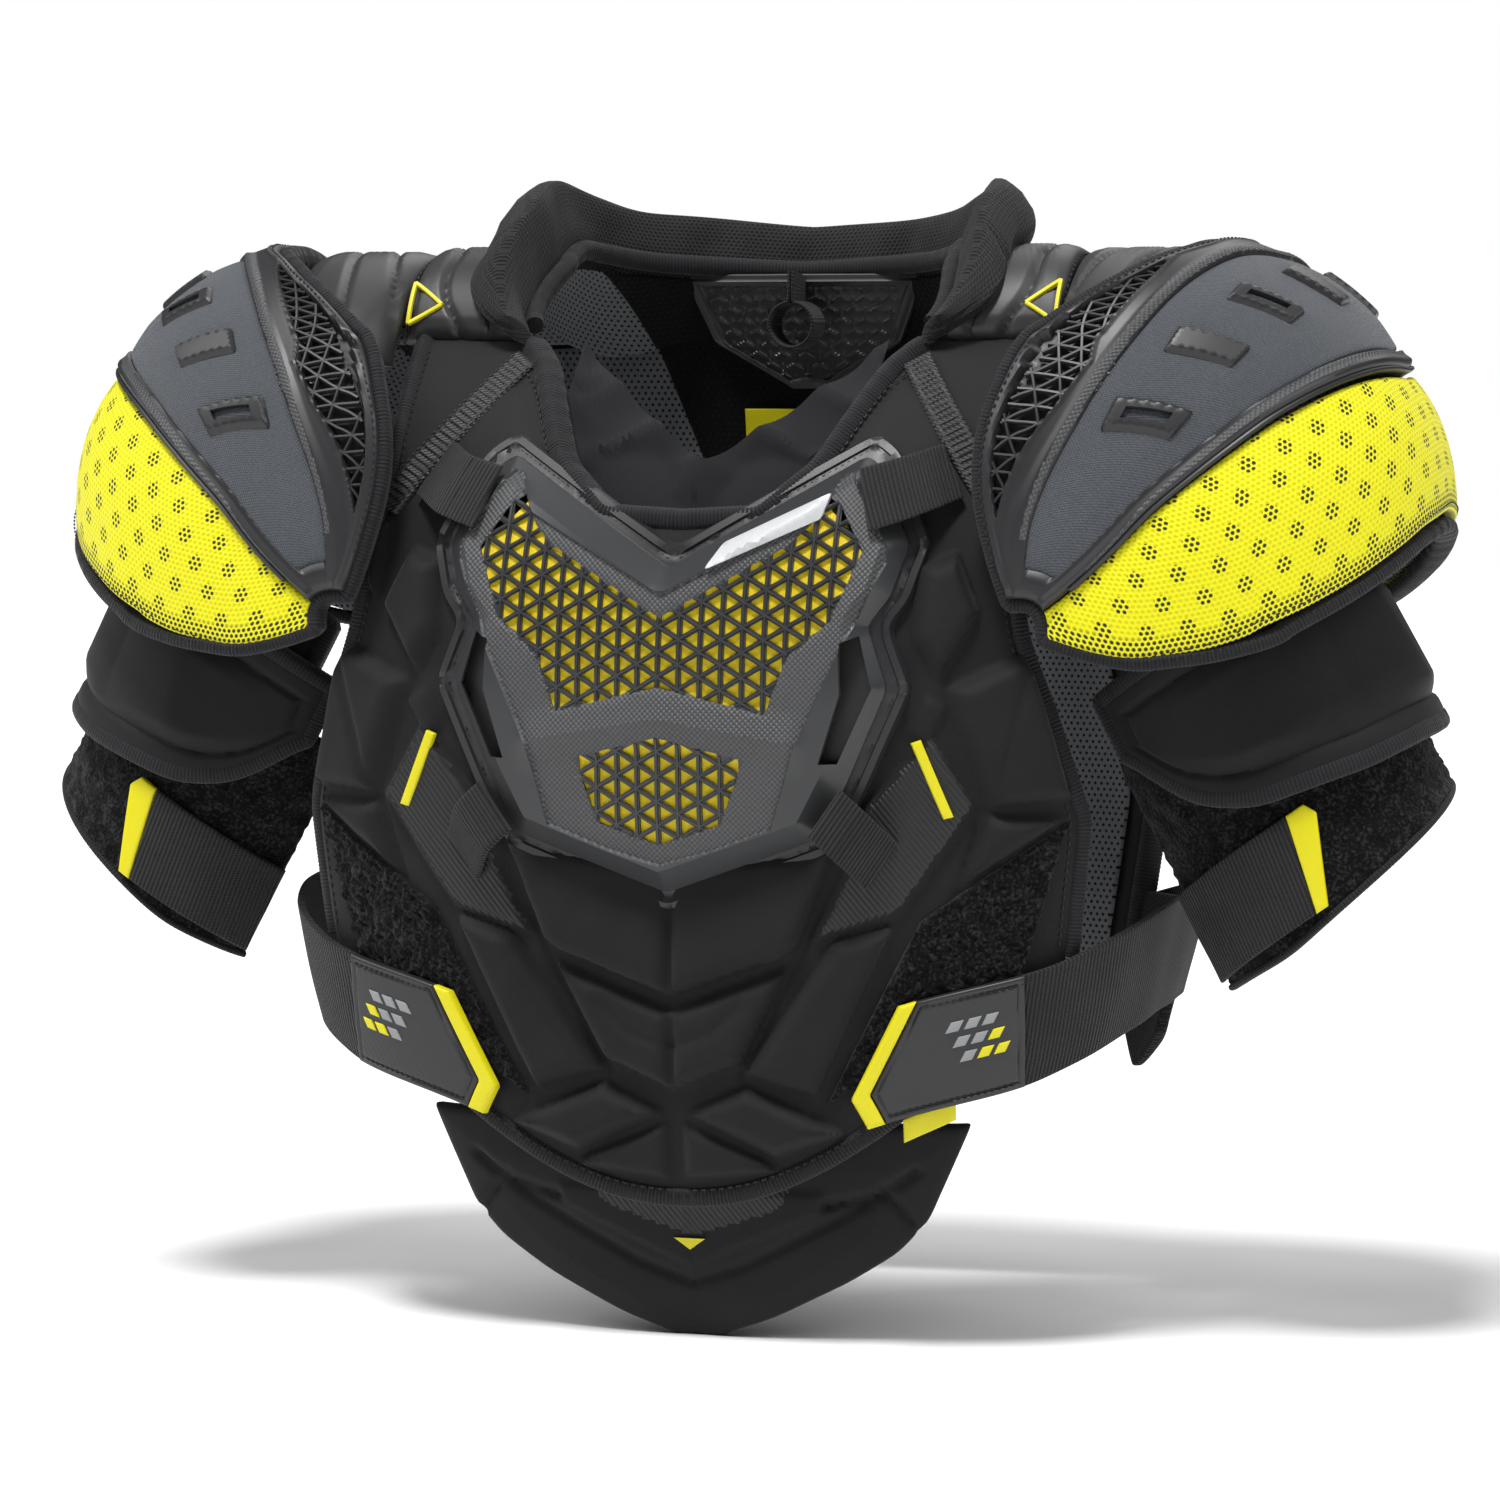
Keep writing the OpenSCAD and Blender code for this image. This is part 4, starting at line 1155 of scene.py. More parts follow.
def shield_relief(g):
    marks = np.zeros_like(g.x)
    pitch_x, pitch_z, arm_length = 11.5, 10.0, 4.3
    for shift in (0.0, 0.5):
        x = (g.x / pitch_x + shift) % 1.0 * pitch_x - pitch_x / 2
        z = (g.z / pitch_z + shift) % 1.0 * pitch_z - pitch_z / 2
        for a in np.radians((90, 210, 330)):
            tip = (arm_length * math.cos(a), arm_length * math.sin(a))
            marks = np.maximum(marks, groove(x, z, [(0, 0), tip], 0.8))
    return 1.4 * near(g.edge - 4.0, 1.6) + 1.1 * marks * (g.edge > 6.5)


def inward(shape):
    """The same shape with offsets counted towards the wearer."""
    return lambda u, v, d: shape(u, v, -np.asarray(d, float))


piece("spine_shield", slab(inward(shield), 1.0, 4.6, 0.8, 2, 0.4, shield_relief), [RUBBER], "root",
      ["inner_spine_pad"])
LABEL = [(-34, -82), (34, -82), (34, -36), (-34, -36)]
piece("inside_label", slab(inward(quad(back, LABEL)), 0.8, 2.0, 4, 0.6), [YELLOW], "root",
      ["inner_label"])


# ---- shoulders -----------------------------------------------------------------------------

def clavicle_shape(u, v, d):
    p = mix(13, 154, v)
    y = yoke(120.0, p, d)[..., 1]
    across = np.sqrt(np.maximum(1 - ((y - COLLAR_Y) / (COLLAR_D + 17)) ** 2, 0.2))
    start = (COLLAR_W + 9) * across + 17 * smooth((78 - p) / 50)
    return yoke(mix(start, 148, u), p, d)


def clavicle_relief(g):
    rise = 2.2 * ramp(g.edge, 9)
    for at, width in ((10, 3.0), (26, 3.4)):
        rise = rise - 2.6 * near(g.from_u0 - at - 10 * np.sin(math.pi * g.v), width) ** 1.3
    fine = smooth((g.v - 0.25) * 6) * smooth((0.8 - g.v) * 6)
    return rise + 0.28 * np.sin(2 * math.pi * (g.sv + 0.4 * g.su) / 2.4) * fine * (g.edge > 8)


pair("clavicle_cap", slab(clavicle_shape, 3.5, 14, 1.3, 5, 0.25, clavicle_relief), [PAD_RUBBER],
     "root", ["clavicle_pad_{}"])


def bridge_shape(u, v, d):
    """The pad reaches down in front to tuck under the edge of the cap."""
    p = mix(4, 154, v)
    return yoke(mix(148.5, 202, u), p, d) - point(0, 18, 4) * smooth((62 - p) / 56)[..., None]


def bridge_relief(g):
    rise = 2.4 * ramp(g.edge, 10)
    for at, lean in ((16, 0.24), (34, 0.16)):
        rise = rise - 2.4 * near(g.from_u0 - at - lean * g.sv, 3.0) ** 1.3
    fine = smooth((g.v - 0.3) * 6) * smooth((0.85 - g.v) * 6) * (g.from_u0 > 20)
    return rise + 0.3 * np.sin(2 * math.pi * (g.su * 0.5 + g.sv) / 2.4) * fine * (g.edge > 6)


pair("shoulder_pad", slab(bridge_shape, 3.5, 12, 1.3, 5, 0.25, bridge_relief), [PAD_RUBBER],
     "root", ["shoulder_bridge_{}"])
sewing.join(stitches(*rail(yoke, 148.2, row(60, 12, 150), 11.5), 2.4, 1.4, 0.45).both())
liner = slab(lambda u, v, d: yoke(mix(104, 188, u), mix(16, 164, v), d), -4, 0, 3, 1.5)
piece("shoulder_linings", liner.both(), [LINER], "root", ["shoulder_liners"])

# A small yellow triangle in outline on the front of each shoulder.
corners = [(132, 30), (146, 43), (146, 20)]
triangle = Solid()
for (x0, p0), (x1, p1) in zip(corners, corners[1:] + corners[:1]):
    side_line = rail(yoke, row(12, x0, x1), row(12, p0, p1), 16.4)
    triangle.join(sweep(*side_line, 0.95, 1.2, 1.5, 0.6, 8))
piece("shoulder_triangles", triangle.both(), [YELLOW], "root")


# ---- back ----------------------------------------------------------------------------------

def back_panel(u, v, d):
    s = 1 - 2 * u
    z = mix(back_hem_z(s), lut(np.abs(s), BACK_TOP, 0.05), v)
    return back(s * lut(z, BACK_SIDE, 9), z, d)


BACK_PANELS = [
    ([(116, -120), (58, -104), (60, -28), (84, -22), (112, -36)], 7.5, 9),
    ([(142, -196), (42, -186), (54, -110), (120, -126)], 7.5, 9),
    ([(134, -268), (30, -260), (36, -196), (144, -204)], 7.0, 9),
    ([(112, -296), (5, -330), (5, -240), (24, -250), (122, -276)], 7.0, 9),
    ([(126, -40), (122, -112), (134, -118), (130, -44)], 4.0, 6),
]


BACK_CREASES = [([(90, -32), (88, -108)], 3.5), ([(52, -150), (128, -164)], 3.5),
                ([(34, -228), (136, -238)], 3.5), ([(4, -286), (60, -268), (116, -286)], 3.5)]


def back_relief(g):
    x, z = np.abs(g.x), g.z
    return (blocks(x, z, BACK_PANELS) - 1.8 * grooves(x, z, BACK_CREASES)
            + 0.4 * waves(g.x, g.z, 60, 21) * ramp(g.edge, 14))


piece("back_shell", slab(back_panel, VEST_IN, VEST_OUT, 2.2, 4, 0.4, back_relief,
                         uv=lambda g: (g.x, g.z)), [BLACK_KNIT], "root",
      ["back_vest", "scapula_pads", "lower_back_pads"], 60)


piece("back_inner", slab(inward(trimmed(back_panel)), -2, 0, 3, 1.5, uv=lambda g: (g.x, g.z)),
      [BACK_LINING_AND_NECK_SHADE], "root", ["back_lining"])

SPINE = [(-230, 16), (-200, 30), (-90, 42), (-40, 50), (-14, 40)]


def spine_shape(u, v, d):
    z = mix(-232, -12, v)
    return back(lut(z, SPINE, 12) * (1 - 2 * u), z, d)


def spine_relief(g):
    ladder = np.abs((g.z + 0.45 * np.abs(g.x)) / 27 % 1.0 - 0.5) * 27
    crease = near(ladder, 2.6) ** 1.3 * (g.edge > 5)
    return 1.5 * ramp(g.edge, 7) + 1.8 * near(g.x, 9) - 2.4 * crease


def spine_paint(g):
    return (g.edge > 8) & (np.abs(g.x) > 8)


piece("spine_armour", slab(spine_shape, BLOCK_IN - 2, BLOCK_IN + 8.5, 1.6, 4, 0.3, spine_relief,
                           paint=spine_paint, uv=lambda g: (g.x, g.z)),
      [PLASTIC, KNURL], "root", ["spine_guard"])


# The edging runs round the hem, up both sides and across the top.
def back_tape(x, z, half_side, half_up):
    return sweep(*rail(back, x, z, 7.8), half_side, half_up, 0.7, 0.6, ribs=(1.9, 0.05))


s = row(140, -1, 1)
z = back_hem_z(s) - 2.0
edging = back_tape(-s * lut(z, BACK_SIDE, 9), z, 4.0, 5.6)
z = row(90, -277, -4)
edging.join(back_tape(lut(z, BACK_SIDE, 9) + 1.2, z, 4.0, 5.6).both())
s = row(90, -0.66, 0.66)
z = lut(np.abs(s), BACK_TOP, 0.05)
edging.join(back_tape(s * lut(z, BACK_SIDE, 9), z + 1, 3.0, 5.0))
piece("back_edging", edging, [BINDING], "root")


def wing_shape(u, v, d):
    a = mix(130.5, 109, u)
    low = -326 + 56 * np.abs(u - 0.6) ** 1.3
    return torso(a, mix(low, -250, v), d + 4 * u)


wings = slab(wing_shape, 5, 10.5, 1.8, 3, 0.3,
             lambda g: waves(g.su, g.sv, 24, 31) * ramp(g.edge, 6))
piece("side_wings", wings.both(), [WING_MESH], "root", ["back_wings"])

# ---- belly straps --------------------------------------------------------------------------

def belly_fold(v):
    """Where the tab ends and its elastic starts: a slanting seam."""
    return 43 - 4 * (np.asarray(v) - 0.5)


def hugging(a):
    """How far the elastic pulls in towards the waist between the tab and the back."""
    return 5 * np.sin(np.pi * np.clip((np.asarray(a) - 48) / 80, 0, 1)) ** 2


strap = slab(lambda u, v, d: belly(mix(belly_fold(v) - 0.5, 132, u), v,
                                   d - hugging(mix(42.5, 132, u))),
             STRAP_IN, STRAP_IN + 3, 1.6, 1.2, 0.4, lambda g: 0.5 * waves(g.su, g.sv, 50, 41))
pair("side_elastic", strap, [ELASTIC], "root", ["belly_strap_{}"])


def nose(v):
    return 18.6 + np.where(v > 0.3, 7.5 * (v - 0.3), 9 * (0.3 - v))


def tab_shape(u, v, d):
    return belly(mix(nose(v), belly_fold(v), u), v, d)


def tab_relief(g):
    cells = 0.16 * np.cos(2 * math.pi * g.su / 3.4) * np.cos(2 * math.pi * g.sv / 3.4)
    return cells * (g.edge > 4.5) - 0.7 * near(g.edge - 3.2, 0.9)


tab = slab(tab_shape, STRAP_IN, STRAP_IN + 4, 1.0, 1.4, 0.4, tab_relief)
# Slanting bars stand where a real tab has its print.
for k, (start, height) in enumerate(((28.5, 0.66), (30.0, 0.52), (31.5, 0.38))):
    for j in range(3):
        a0 = start + 2.9 * j
        bar = slab(lambda u, v, d: belly(a0 + 2.0 * u + 0.7 * v, height + 0.085 * v, d),
                   STRAP_IN + 3.6, STRAP_IN + 4.7, 1.5, 0.5, 0.4)
        tab.join(bar.painted(1 if j + k < 3 else 2))
# Stitches round the tab.
for v0 in (0.07, 0.93):
    edge_line = rail(belly, row(40, nose(v0) + 1, 42), v0, STRAP_IN + 3.6)
    tab.join(stitches(*edge_line, 1.9, 1.1, 0.35, 0.3).painted(3))
pair("hook_tab", tab, [RUBBER, GREY_PRINT, YELLOW, THREAD], "belly_flap_{}",
     ["belly_tab_{}"])
edge_bar = slab(lambda u, v, d: belly(mix(nose(v) - 2.5, nose(v) - 0.1, u), v, d), STRAP_IN,
                STRAP_IN + 4.2, 1.6, 1.2, 0.4)
pair("hook_tab_edge", edge_bar, [YELLOW], "belly_flap_{}", ["belly_tab_edge_{}"])


# ---- extension pad -------------------------------------------------------------------------

def extension_shape(u, v, d):
    z = mix(-431, -336, v)
    return front(lut(z, EXTENSION_SIDE, 5) * (2 * u - 1), z, d)


EXTENSION_FIELD = [(-1, -402), (56, -376), (60, -366), (-1, -366)]


def extension_relief(g):
    x, z = np.abs(g.x), g.z
    crease = grooves(x, z, [([(98, -356), (84, -366), (60, -372)], 4),
                            ([(84, -364), (104, -388)], 4)])
    chevron = groove(x, z, [(-1, -408), (24, -399), (78, -370)], 4)
    field = 1.3 * shoulder(signed_distance(x, z, EXTENSION_FIELD), 3)
    return (1.5 * ramp(g.edge, 22) + field - 3.0 * crease - 2.2 * chevron
            + 0.4 * waves(g.x, g.z, 50, 51))


def extension_paint(g):
    return signed_distance(np.abs(g.x), g.z, [(-1, -388), (38, -375), (44, -364), (-1, -364)]) > 0


extension = slab(extension_shape, -10, -3, 1.8, 4, 0.3, extension_relief, paint=extension_paint,
                 uv=lambda g: (g.x, g.z))
piece("belly_extension", extension, [BLACK_KNIT, HATCHED], "extension",
      ["extension_pad"], 60)
arrow = plate([(-7.5, -388), (7.5, -388), (0, -393)], flat_at(-2.4), flat_at(0.6), step=4)
piece("extension_arrow", arrow, [YELLOW], "extension")
strip = slab(lambda u, v, d: front(90 * (2 * u - 1), mix(-358, -342, v), d), -13, -11, 2.5, 1,
             back_relief=lambda g: 0.5 * waves(g.x, g.z, 4, 52))
piece("extension_loop_strip", strip, [LOOP_PILE], "extension",
      ["extension_strip"])

# ---- sternum guard -------------------------------------------------------------------------

BACKER = [(0, -92), (80, -44), (92, -52), (110, -90), (103, -114), (95, -124), (105, -150),
          (86, -193), (72, -219), (0, -246)]
SHELL = [(0, -101), (78, -54), (86, -60), (101, -91), (95, -112), (86, -124), (95, -150),
         (78, -190), (66, -213), (0, -237)]
FOAM = [(0, -114), (66, -74), (84, -94), (72, -128), (56, -176), (34, -216), (0, -220)]
UPPER_WINDOW = [(0, -121), (52, -91), (60, -83), (68, -67), (84, -93), (73, -122), (55, -137),
                (46, -161), (0, -150)]
LOWER_WINDOW = [(0, -171), (37, -180), (27, -207), (0, -216)]
SIDE_SLOT = [(84, -128), (90, -150), (76, -181), (69, -181), (78, -152), (77, -131)]
FIELD = [(0, -111), (62, -78), (67, -70), (70, -62), (75, -60), (94, -91), (94, -98), (58.5, -176),
         (49, -209), (23, -219), (0, -225.5)]


def rounded(ring, radius=4.0, count=4):
    """The closed outline with its corners rounded."""
    ring = [np.array(p, float) for p in ring]
    result = []
    for k, here in enumerate(ring):
        before, after_ = ring[k - 1], ring[(k + 1) % len(ring)]
        reach_a = min(radius, 0.4 * np.linalg.norm(before - here))
        reach_b = min(radius, 0.4 * np.linalg.norm(after_ - here))
        a = here + (before - here) / np.linalg.norm(before - here) * reach_a
        b = here + (after_ - here) / np.linalg.norm(after_ - here) * reach_b
        for t in np.linspace(0, 1, count):
            result.append(tuple((1 - t) ** 2 * a + 2 * t * (1 - t) * here + t * t * b))
    return result


def inset(ring, distance):
    """The closed outline moved inwards by a distance, corner by corner."""
    ring = np.array(ring, float)
    a, b = unit(ring - np.roll(ring, 1, 0)), unit(np.roll(ring, -1, 0) - ring)
    inner_a, inner_b = (np.stack([k[:, 1], -k[:, 0]], 1) for k in (a, b))
    middle = unit(inner_a + inner_b)
    reach = distance / np.clip((middle * inner_a).sum(1), 0.5, 1)
    return [tuple(p) for p in ring + middle * reach[:, None]]


backer_ring = rounded(mirrored_ring(BACKER), 6)


def backer_top(x, z):
    """A flat plate with a thin raised rim and a pressed line inside it."""
    inside = signed_distance(x, z, backer_ring)
    return (BLOCK_IN - 0.3 + 2.2 * ramp(inside, 0.9)
            + 1.1 * (inside > 0.8) * ramp(4.6 - inside, 0.8) - 0.8 * near(inside - 5.6, 1.2))


backer = plate(backer_ring, flat_at(BLOCK_IN - 3.5), backer_top, step=2.4, shape=true_front,
               creases=[looped(rounded(inset(mirrored_ring(BACKER), far), 6 - far))
                        for far in (0.9, 3.8, 4.6)])
piece("sternum_base", backer, [RUBBER], "sternum", ["sternum_backer"])

# The lattice: triangles cut out of the shell between bars, with upright bars every column.
CELL, BAR = 10.4, 1.05
COLUMN = CELL * math.sqrt(3) / 2
SHRINK = 1 - BAR / (CELL / (2 * math.sqrt(3)))
LEAST_SIDE, LEAST_AREA = 0.25, 5.0
windows = [mirrored_ring(UPPER_WINDOW), mirrored_ring(LOWER_WINDOW)]


def openings(column, level):
    """The two triangles of one cell of the lattice, cut off at the windows' edges."""
    x0, x1 = column * COLUMN, (column + 1) * COLUMN
    z = (level + 0.5 * (column % 2)) * CELL
    for corners in ([(x0, z), (x1, z + CELL / 2), (x0, z + CELL)],
                    [(x1, z + CELL / 2), (x1, z + CELL * 1.5), (x0, z + CELL)]):
        centre = np.mean(corners, 0)
        opening = [tuple(centre + (np.array(p) - centre) * SHRINK) for p in corners]
        for window in windows:
            cut = clip_to_convex(window, opening)
            cut = [p for k, p in enumerate(cut) if math.dist(p, cut[k - 1]) > LEAST_SIDE]
            if len(cut) >= 3 and area(cut) > LEAST_AREA:
                yield cut


holes = [cut for column in range(-11, 11) for level in range(-24, -3)
         for cut in openings(column, level)]
slots = [SIDE_SLOT, [(-x, z) for x, z in reversed(SIDE_SLOT)]]
# The roof between the windows: its ridge is at RIDGE_Z and falls away ROOF_HALF to each side.
RIDGE_Z, ROOF_HALF, ROOF_LEAN = -163, 13, 0.17
ROOF = [[(-54, z - 9.2), (0, z), (54, z - 9.2)] for z in (RIDGE_Z + ROOF_HALF, RIDGE_Z - ROOF_HALF)]
BEVEL, SHELL_THICK = 9.0, 2.4
shell_ring = rounded(mirrored_ring(SHELL), 3, 3)
frame_ring = inset(mirrored_ring(SHELL), BEVEL)
field_ring = mirrored_ring(FIELD)


def in_windows(x, z):
    return np.maximum(*(signed_distance(x, z, w) for w in windows))


def shell_top(x, z):
    """Bevelled rim, a raised frame, a knurled field with a keel, and a roof between the windows."""
    ax = np.abs(x)
    height = BLOCK_IN + 3.5 + 10.5 * ramp(signed_distance(x, z, shell_ring), BEVEL)
    keel = 4.0 * near(x, 60) * smooth((z + 236) / 40)
    step_down = 1.6 * ramp(signed_distance(x, z, field_ring), 1.2)
    roof = 2.6 * near(z - RIDGE_Z + ROOF_LEAN * ax, ROOF_HALF) * smooth((66 - ax) / 12)
    return height + keel - step_down + roof - np.clip(in_windows(x, z) / 1.2 + 0.6, 0, 1)


def shell_bottom(x, z):
    return shell_top(x, z) - SHELL_THICK


def shell_paint(x, z):
    return (signed_distance(x, z, field_ring) > 0.6) & (in_windows(x, z) < 0.3)


shell_creases = [[(0, -103), (0, -119)], [(0, -152), (0, -170)], [(0, -218), (0, -235)],
                 looped(frame_ring), looped(field_ring), looped(inset(field_ring, 1.2)),
                 [(-58, -173), (0, RIDGE_Z), (58, -173)], *ROOF]
shell = plate(shell_ring, shell_bottom, shell_top, holes + slots, shell_creases, 2.4, true_front,
              shell_paint)
piece("sternum_armour", shell, [PLASTIC, KNURL], "sternum", ["sternum_shell"],
      sharp=18)
foam = plate(mirrored_ring(FOAM), flat_at(BLOCK_IN + 2), lambda x, z: shell_bottom(x, z) + 0.8,
             step=4, shape=true_front)
piece("sternum_core", foam, [GOLD], "sternum", ["sternum_foam"])
# Raised ribs on top of the lattice bars give them their folded look.
ribs = Solid()


REACH = 100
RISE = REACH / math.sqrt(3)
lines = [((k * COLUMN, -240), (k * COLUMN, -40)) for k in range(-10, 11)]
for k in range(-34, 10):
    for rise in (RISE, -RISE):
        lines.append(((-REACH, k * CELL - rise), (REACH, k * CELL + rise)))
for p, q in lines:
    t = row(260, 0, 1)
    x, z = mix(p[0], q[0], t), mix(p[1], q[1], t)
    for part in runs(in_windows(x, z) > 0.2):
        on_top = rail(true_front, x[part], z[part], shell_top(x[part], z[part]))
        ribs.join(sweep(*on_top, 0.65, 0.9, 2.0, 0.9, 6))
piece("sternum_lattice", ribs, [PLASTIC], "sternum")
x, z = np.array(dense(rounded(inset(mirrored_ring(BACKER), 5.6), 3), 3)).T
piece("sternum_stitches", stitches(*rail(true_front, x, z, BLOCK_IN + 1.4), 1.8, 1.2, 0.35),
      [THREAD], "sternum")
badge = plate(rounded([(19, -101), (24, -90), (68, -69), (65, -80)], 1.5, 3),
              lambda x, z: shell_top(x, z) - 1, lambda x, z: shell_top(x, z) + 2.1, step=2.5,
              shape=true_front)
piece("sternum_plaque", badge, [WHITE], "sternum", ["sternum_badge"])


# How far each chest strap stands off the vest along its length, from the guard outwards.
STRAP_RISE = [(0, 15), (0.42, 15), (1, 1)]


def chest_strap(corners, name, node):
    elastic = slab(lambda u, v, d: quad(front, corners)(u, v, d + lut(u, STRAP_RISE, 0.16)),
                   BLOCK_IN - 0.4, BLOCK_IN + 2.4, 1.2, 1.2, 0.4,
                   lambda g: -0.8 * near(g.from_u0 - 14, 1.0))
    piece(name, elastic.both(), [ELASTIC], "sternum", [node])


chest_strap([(80, -85), (119, -71), (107, -49), (73, -59)], "upper_chest_straps",
            "sternum_straps_upper")
chest_strap([(60, -211), (84, -234), (97, -214), (73, -191)], "lower_chest_straps",
            "sternum_straps_lower")


# ---- shoulder caps -------------------------------------------------------------------------

def cap_edges(t, low, high):
    """The two edge angles of a cap band at t, with high as its front and back tables."""
    k = np.abs(t - 90)
    top = mix(lut(k, high[0], 4), lut(k, high[1], 4), smooth((t - 84) / 12))
    return lut(k, low, 4), top


def cap_band(low, high, start=CAP_START, stop=CAP_STOP, low_shift=0.0, high_shift=0.0):
    def shape(u, v, d):
        t = mix(start, stop, v)
        lower, upper = cap_edges(t, low, high)
        return cap(mix(upper + high_shift, lower + low_shift, u), t, d)
    return shape


RIDGE = (CAP_RIDGE, CAP_RIDGE)
# Millimetres to a degree across the cap where it is longest, and the bare rim of its frame.
PER_DEGREE, CAP_RIM = 2.9, 5.5
# How wide the lattice wedge is, in mm, at each angle from the top of the cap.
WEDGE_FRONT = [(22, -2), (30, 5), (52, 27), (60, 22), (79, -2)]
WEDGE_BACK = [(30, -2), (46, 14), (62, -2)]


def frame_place(g):
    """t, how far it is from the middle, and the degrees above the hem ridge and the fabric."""
    t = mix(CAP_START, CAP_STOP, g.v)
    ridge, inner = cap_edges(t, CAP_RIDGE, CAP_INNER)
    p = mix(inner, ridge, g.u)
    return t, np.abs(t - 90), p - ridge, p - cap_edges(t, CAP_RIDGE, CAP_FABRIC)[1]


def frame_relief(g):
    """Rim, lattice wedge, smooth band, and the sunk seat of the fabric between two ridges."""
    t, k, below, above = frame_place(g)
    scale = PER_DEGREE * np.sin(np.radians(t)) ** 0.8
    below, above = below * scale, above * scale
    seat = (smooth(-above / 2.4) * smooth((below - 9.5) / 2.4)
            * smooth((np.where(t < 90, 85, 70) - k) / 3))
    lip = np.maximum(near(above - 3, 3.5), near(below - 3.5, 4.0))
    wedge_u = g.from_u0 - CAP_RIM
    wedge_w = np.where(t < 90, lut(k, WEDGE_FRONT), lut(k, WEDGE_BACK))
    inside = np.minimum(wedge_u, wedge_w - wedge_u)
    return (2.6 - 3.8 * seat + 1.2 * lip - 4.2 * smooth(inside / 1.2)
            + 0.8 * near(inside + 0.8, 1.4))


def frame_paint(g):
    _, k, below, above = frame_place(g)
    return (((above > 0.3) & (above < 2.4)) | ((below > 2.2) & (below < 4.0))) & (k < 80)


cap_frame = slab(cap_band(CAP_RIDGE, CAP_INNER), -5, 0, 0.85, 2.5, 0.4, frame_relief,
                 paint=frame_paint)
# The bars of the lattice run three ways across the sunk wedges.
LATTICE_PITCH = 7.2


def wedge_bars(start, stop, widths):
    """Crossed bars in a wedge; x is mm from the cap's inner edge and y is mm along that edge."""
    edge_t = row(200, start, stop)
    edge_p = cap_edges(edge_t, CAP_RIDGE, CAP_INNER)[1]
    steps = np.linalg.norm(np.diff(cap(edge_p, edge_t, 0), axis=0), axis=1)
    along = np.concatenate([[0], np.cumsum(steps)])
    bars = Solid()
    for turn in (20, 80, 140):
        cos, sin = math.cos(math.radians(turn)), math.sin(math.radians(turn))
        for k in range(-30, 31):
            run = row(521, -130, 130)
            x = 14 + k * LATTICE_PITCH * cos - run * sin
            y = along[-1] / 2 + k * LATTICE_PITCH * sin + run * cos
            t = np.interp(y, along, edge_t)
            width = lut(np.abs(t - 90), widths)
            inside = np.minimum(x - CAP_RIM, width - x + CAP_RIM) > -0.3
            p = (cap_edges(t, CAP_RIDGE, CAP_INNER)[1]
                 - x / (PER_DEGREE * np.sin(np.radians(t)) ** CAP_DEPTH_ROUND))
            for part in runs(inside & (y > 0) & (y < along[-1])):
                bars.join(sweep(*rail(cap, p[part], t[part], 0.7), 0.8, 1.5, 1.6, 0.8, 6))
    return bars


cap_bars = wedge_bars(8, 80, WEDGE_FRONT).join(wedge_bars(100, 160, WEDGE_BACK))
pair("cap_armour", cap_frame, [RUBBER, KNURL], "cap_{}", ["cap_frame_{}"])
pair("cap_lattice", cap_bars, [RUBBER], "cap_{}")
cap_fabric = slab(cap_band(CAP_RIDGE, CAP_FABRIC, 6.5, 158, 4.0, -0.4), -0.8, 1.5, 2.0, 2, 0.4,
                  lambda g: 1.2 * ramp(g.edge, 14) + 0.25 * waves(g.su, g.sv, 40, 61))
pair("cap_panel", cap_fabric, [GREY_WEAVE], "cap_{}", ["cap_fabric_{}"])


def on_cap(p0, t0):
    """Maps mm across (towards the hem) and along (towards the back) near a point of the cap."""
    scale_t = PER_DEGREE * 0.72
    scale_p = PER_DEGREE * math.sin(math.radians(t0)) ** CAP_DEPTH_ROUND
    return lambda x, y, d: cap(p0 - x / scale_p, t0 + y / scale_t, d)


def block_top(x, y):
    return 2.2 + 2.8 * ramp(signed_distance(x, y, BLOCK) + 0.3, 1.8)


# Blank raised blocks, every second one with a hole, take the place of lettering.
marks = Solid()
BLOCK = [(-16, -9), (-16, 3.5), (16, 11), (16, -1.5)]
BLOCK_HOLE = [(-9.5, -3.6), (-9.5, 0.6), (9.5, 5.6), (9.5, 1.4)]
for k, (p0, t0) in enumerate(((62, 31), (60, 47), (57, 63), (54, 80), (51, 97), (49, 114))):
    marks.join(plate(rounded(BLOCK, 2.2, 3), flat_at(1.6), block_top,
                     [BLOCK_HOLE] if k % 2 == 0 else [], step=1.3, shape=on_cap(p0, t0)))
pair("cap_raised_bars", marks, [RUBBER], "cap_{}", sharp=30)


def mesh_relief(g):
    puff = 3.2 * np.sin(math.pi * np.clip(g.u, 0, 1)) ** 0.8 * np.sin(math.pi * g.v) ** 0.5
    return puff + 0.5 * waves(g.su, g.sv, 55, 62)


cap_mesh = slab(cap_band(CAP_HEM, RIDGE, high_shift=-1), -5, 0, 2.0, 2, 0.4, mesh_relief,
                uv=lambda g: (g.sv, g.from_u1))
pair("cap_mesh_panel", cap_mesh, [YELLOW_MESH], "cap_{}", ["cap_mesh_{}"])
cap_liner = slab(cap_band(CAP_HEM, CAP_INNER), -12, -6.5, 3.0, 2.5, 0.3)
pair("cap_lining", cap_liner, [LINER], "cap_{}", ["cap_liner_{}"])

